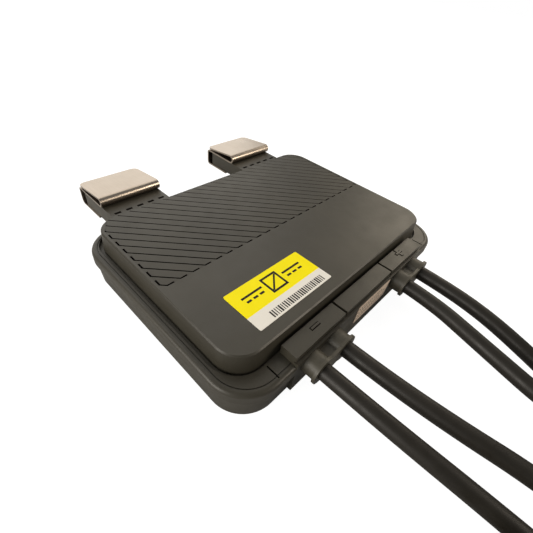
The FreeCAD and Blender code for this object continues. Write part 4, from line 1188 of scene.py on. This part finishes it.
@dataclass
class Studio:
    """A pale floor, soft lamps and a camera at the photograph's angle.

    Attributes:
        eye: Where the camera stands.
        right: The camera's own X axis.
        up: Its Y axis.
        back: Its Z axis, away from what it looks at.
        lens: Its focal length in millimetres.
        sensor: Its sensor's width in millimetres.
        nearest: How near it still sees.
        floor_side: The floor's side.
        floor_cells: The floor's faces along a side.
        floor_grey: The floor's own grey.
        floor_roughness: Its roughness.
        glow: The floor's glow to the camera, close by and far off.
        glow_fade: The distances between which the glow changes.
        glow_share: The glow's share of what the camera sees.
        room_light: The strength of the room's light on the part.
        backdrop: The strength of the backdrop to the camera.
    """

    eye: Point = (-0.099408, -0.078656, 0.109483)
    right: Point = (0.69337, -0.71281, 0.10552)
    up: Point = (0.43264, 0.52892, 0.73012)
    back: Point = (-0.57625, -0.46059, 0.67513)
    lens: float = 22.546
    sensor: float = 36.0
    nearest: float = 0.005
    floor_side: float = 6.0
    floor_cells: int = 4
    floor_grey: Colour = (0.6, 0.6, 0.6)
    floor_roughness: float = 0.9
    glow: tuple[float, float] = (1.56, 1.8)
    glow_fade: tuple[float, float] = (0.2, 0.9)
    glow_share: float = 0.6
    room_light: float = 0.24
    backdrop: float = 1.0

    def build(self) -> None:
        """Makes the floor, the lamps, the world and the camera."""
        self._floor()
        self._world()
        for lamp in LAMPS:
            lamp.hang()
        self._camera()

    def _floor(self) -> None:
        """Makes the floor, white to the camera but for the part's shadow."""
        shape = bmesh.new()
        bmesh.ops.create_grid(shape, x_segments=self.floor_cells, y_segments=self.floor_cells,
                              size=self.floor_side / 2)
        sheet = ShaderSheet("floor_white")
        sheet.set("Roughness", self.floor_roughness)
        sheet.shader.inputs["Base Color"].default_value = (*self.floor_grey, 1.0)
        path = sheet.add("ShaderNodeLightPath")
        far = sheet.add("ShaderNodeVectorMath")
        far.operation = "LENGTH"
        sheet.join(sheet.place, far.inputs[0])
        glow = sheet.add("ShaderNodeEmission")
        sheet.join(sheet.spread(far.outputs["Value"], *self.glow, *self.glow_fade),
                   glow.inputs["Strength"])
        mix = sheet.add("ShaderNodeMixShader")
        share = sheet.add("ShaderNodeMath")
        share.operation = "MULTIPLY"
        share.inputs[1].default_value = self.glow_share
        out = sheet.tree.nodes["Material Output"]
        sheet.join(path.outputs["Is Camera Ray"], share.inputs[0])
        sheet.join(share.outputs["Value"], mix.inputs["Fac"])
        sheet.join(sheet.shader.outputs["BSDF"], mix.inputs[1])
        sheet.join(glow.outputs["Emission"], mix.inputs[2])
        sheet.join(mix.outputs["Shader"], out.inputs["Surface"])
        mesh_object("floor", shape, sheet.material)

    def _world(self) -> None:
        """Gives the room an even pale light and a white backdrop."""
        world = bpy.data.worlds.new("room")
        bpy.context.scene.world = world
        world.use_nodes = True
        nodes, links = world.node_tree.nodes, world.node_tree.links
        back = nodes["Background"]
        back.inputs["Color"].default_value = (1.0, 1.0, 1.0, 1.0)
        path = nodes.new("ShaderNodeLightPath")
        level = nodes.new("ShaderNodeMapRange")
        level.inputs["To Min"].default_value = self.room_light
        level.inputs["To Max"].default_value = self.backdrop
        links.new(path.outputs["Is Camera Ray"], level.inputs["Value"])
        links.new(level.outputs["Result"], back.inputs["Strength"])

    def _camera(self) -> None:
        """Puts the camera where the photograph was taken from."""
        data = bpy.data.cameras.new("photo_view")
        data.lens = self.lens
        data.sensor_width = self.sensor
        data.clip_start = self.nearest
        camera = new_object("photo_view", data)
        turn = Matrix((self.right, self.up, self.back)).transposed().to_4x4()
        camera.matrix_world = Matrix.Translation(self.eye) @ turn
        bpy.context.scene.camera = camera


def main() -> None:
    """Dresses the part, lays its leads and sets up the studio."""
    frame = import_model()
    bpy.context.scene.view_settings.view_transform = "Standard"
    finishes = Finishes(frame["nodes"])
    Studio().build()
    Housing(finishes).dress()
    SpringClips(finishes).dress()
    ArmSlotShades(finishes).build()
    MarkShades(finishes).build()
    TopLabel(finishes).build()
    SideLabel(finishes).build()
    Lead("input_minus", INPUT_MINUS, False, finishes).build()
    Lead("input_plus", INPUT_PLUS, True, finishes).build()
    CoiledLead("output_minus", OUTPUT_MINUS, True, finishes, centre=(-66.9, -152.0),
               tail=MINUS_TAIL).build()
    CoiledLead("output_plus", OUTPUT_PLUS, False, finishes, centre=(59.7, -152.0),
               clockwise=False, tail=PLUS_TAIL).build()


if __name__ == "__main__":
    logging.basicConfig(level=logging.INFO, format="%(message)s")
    main()
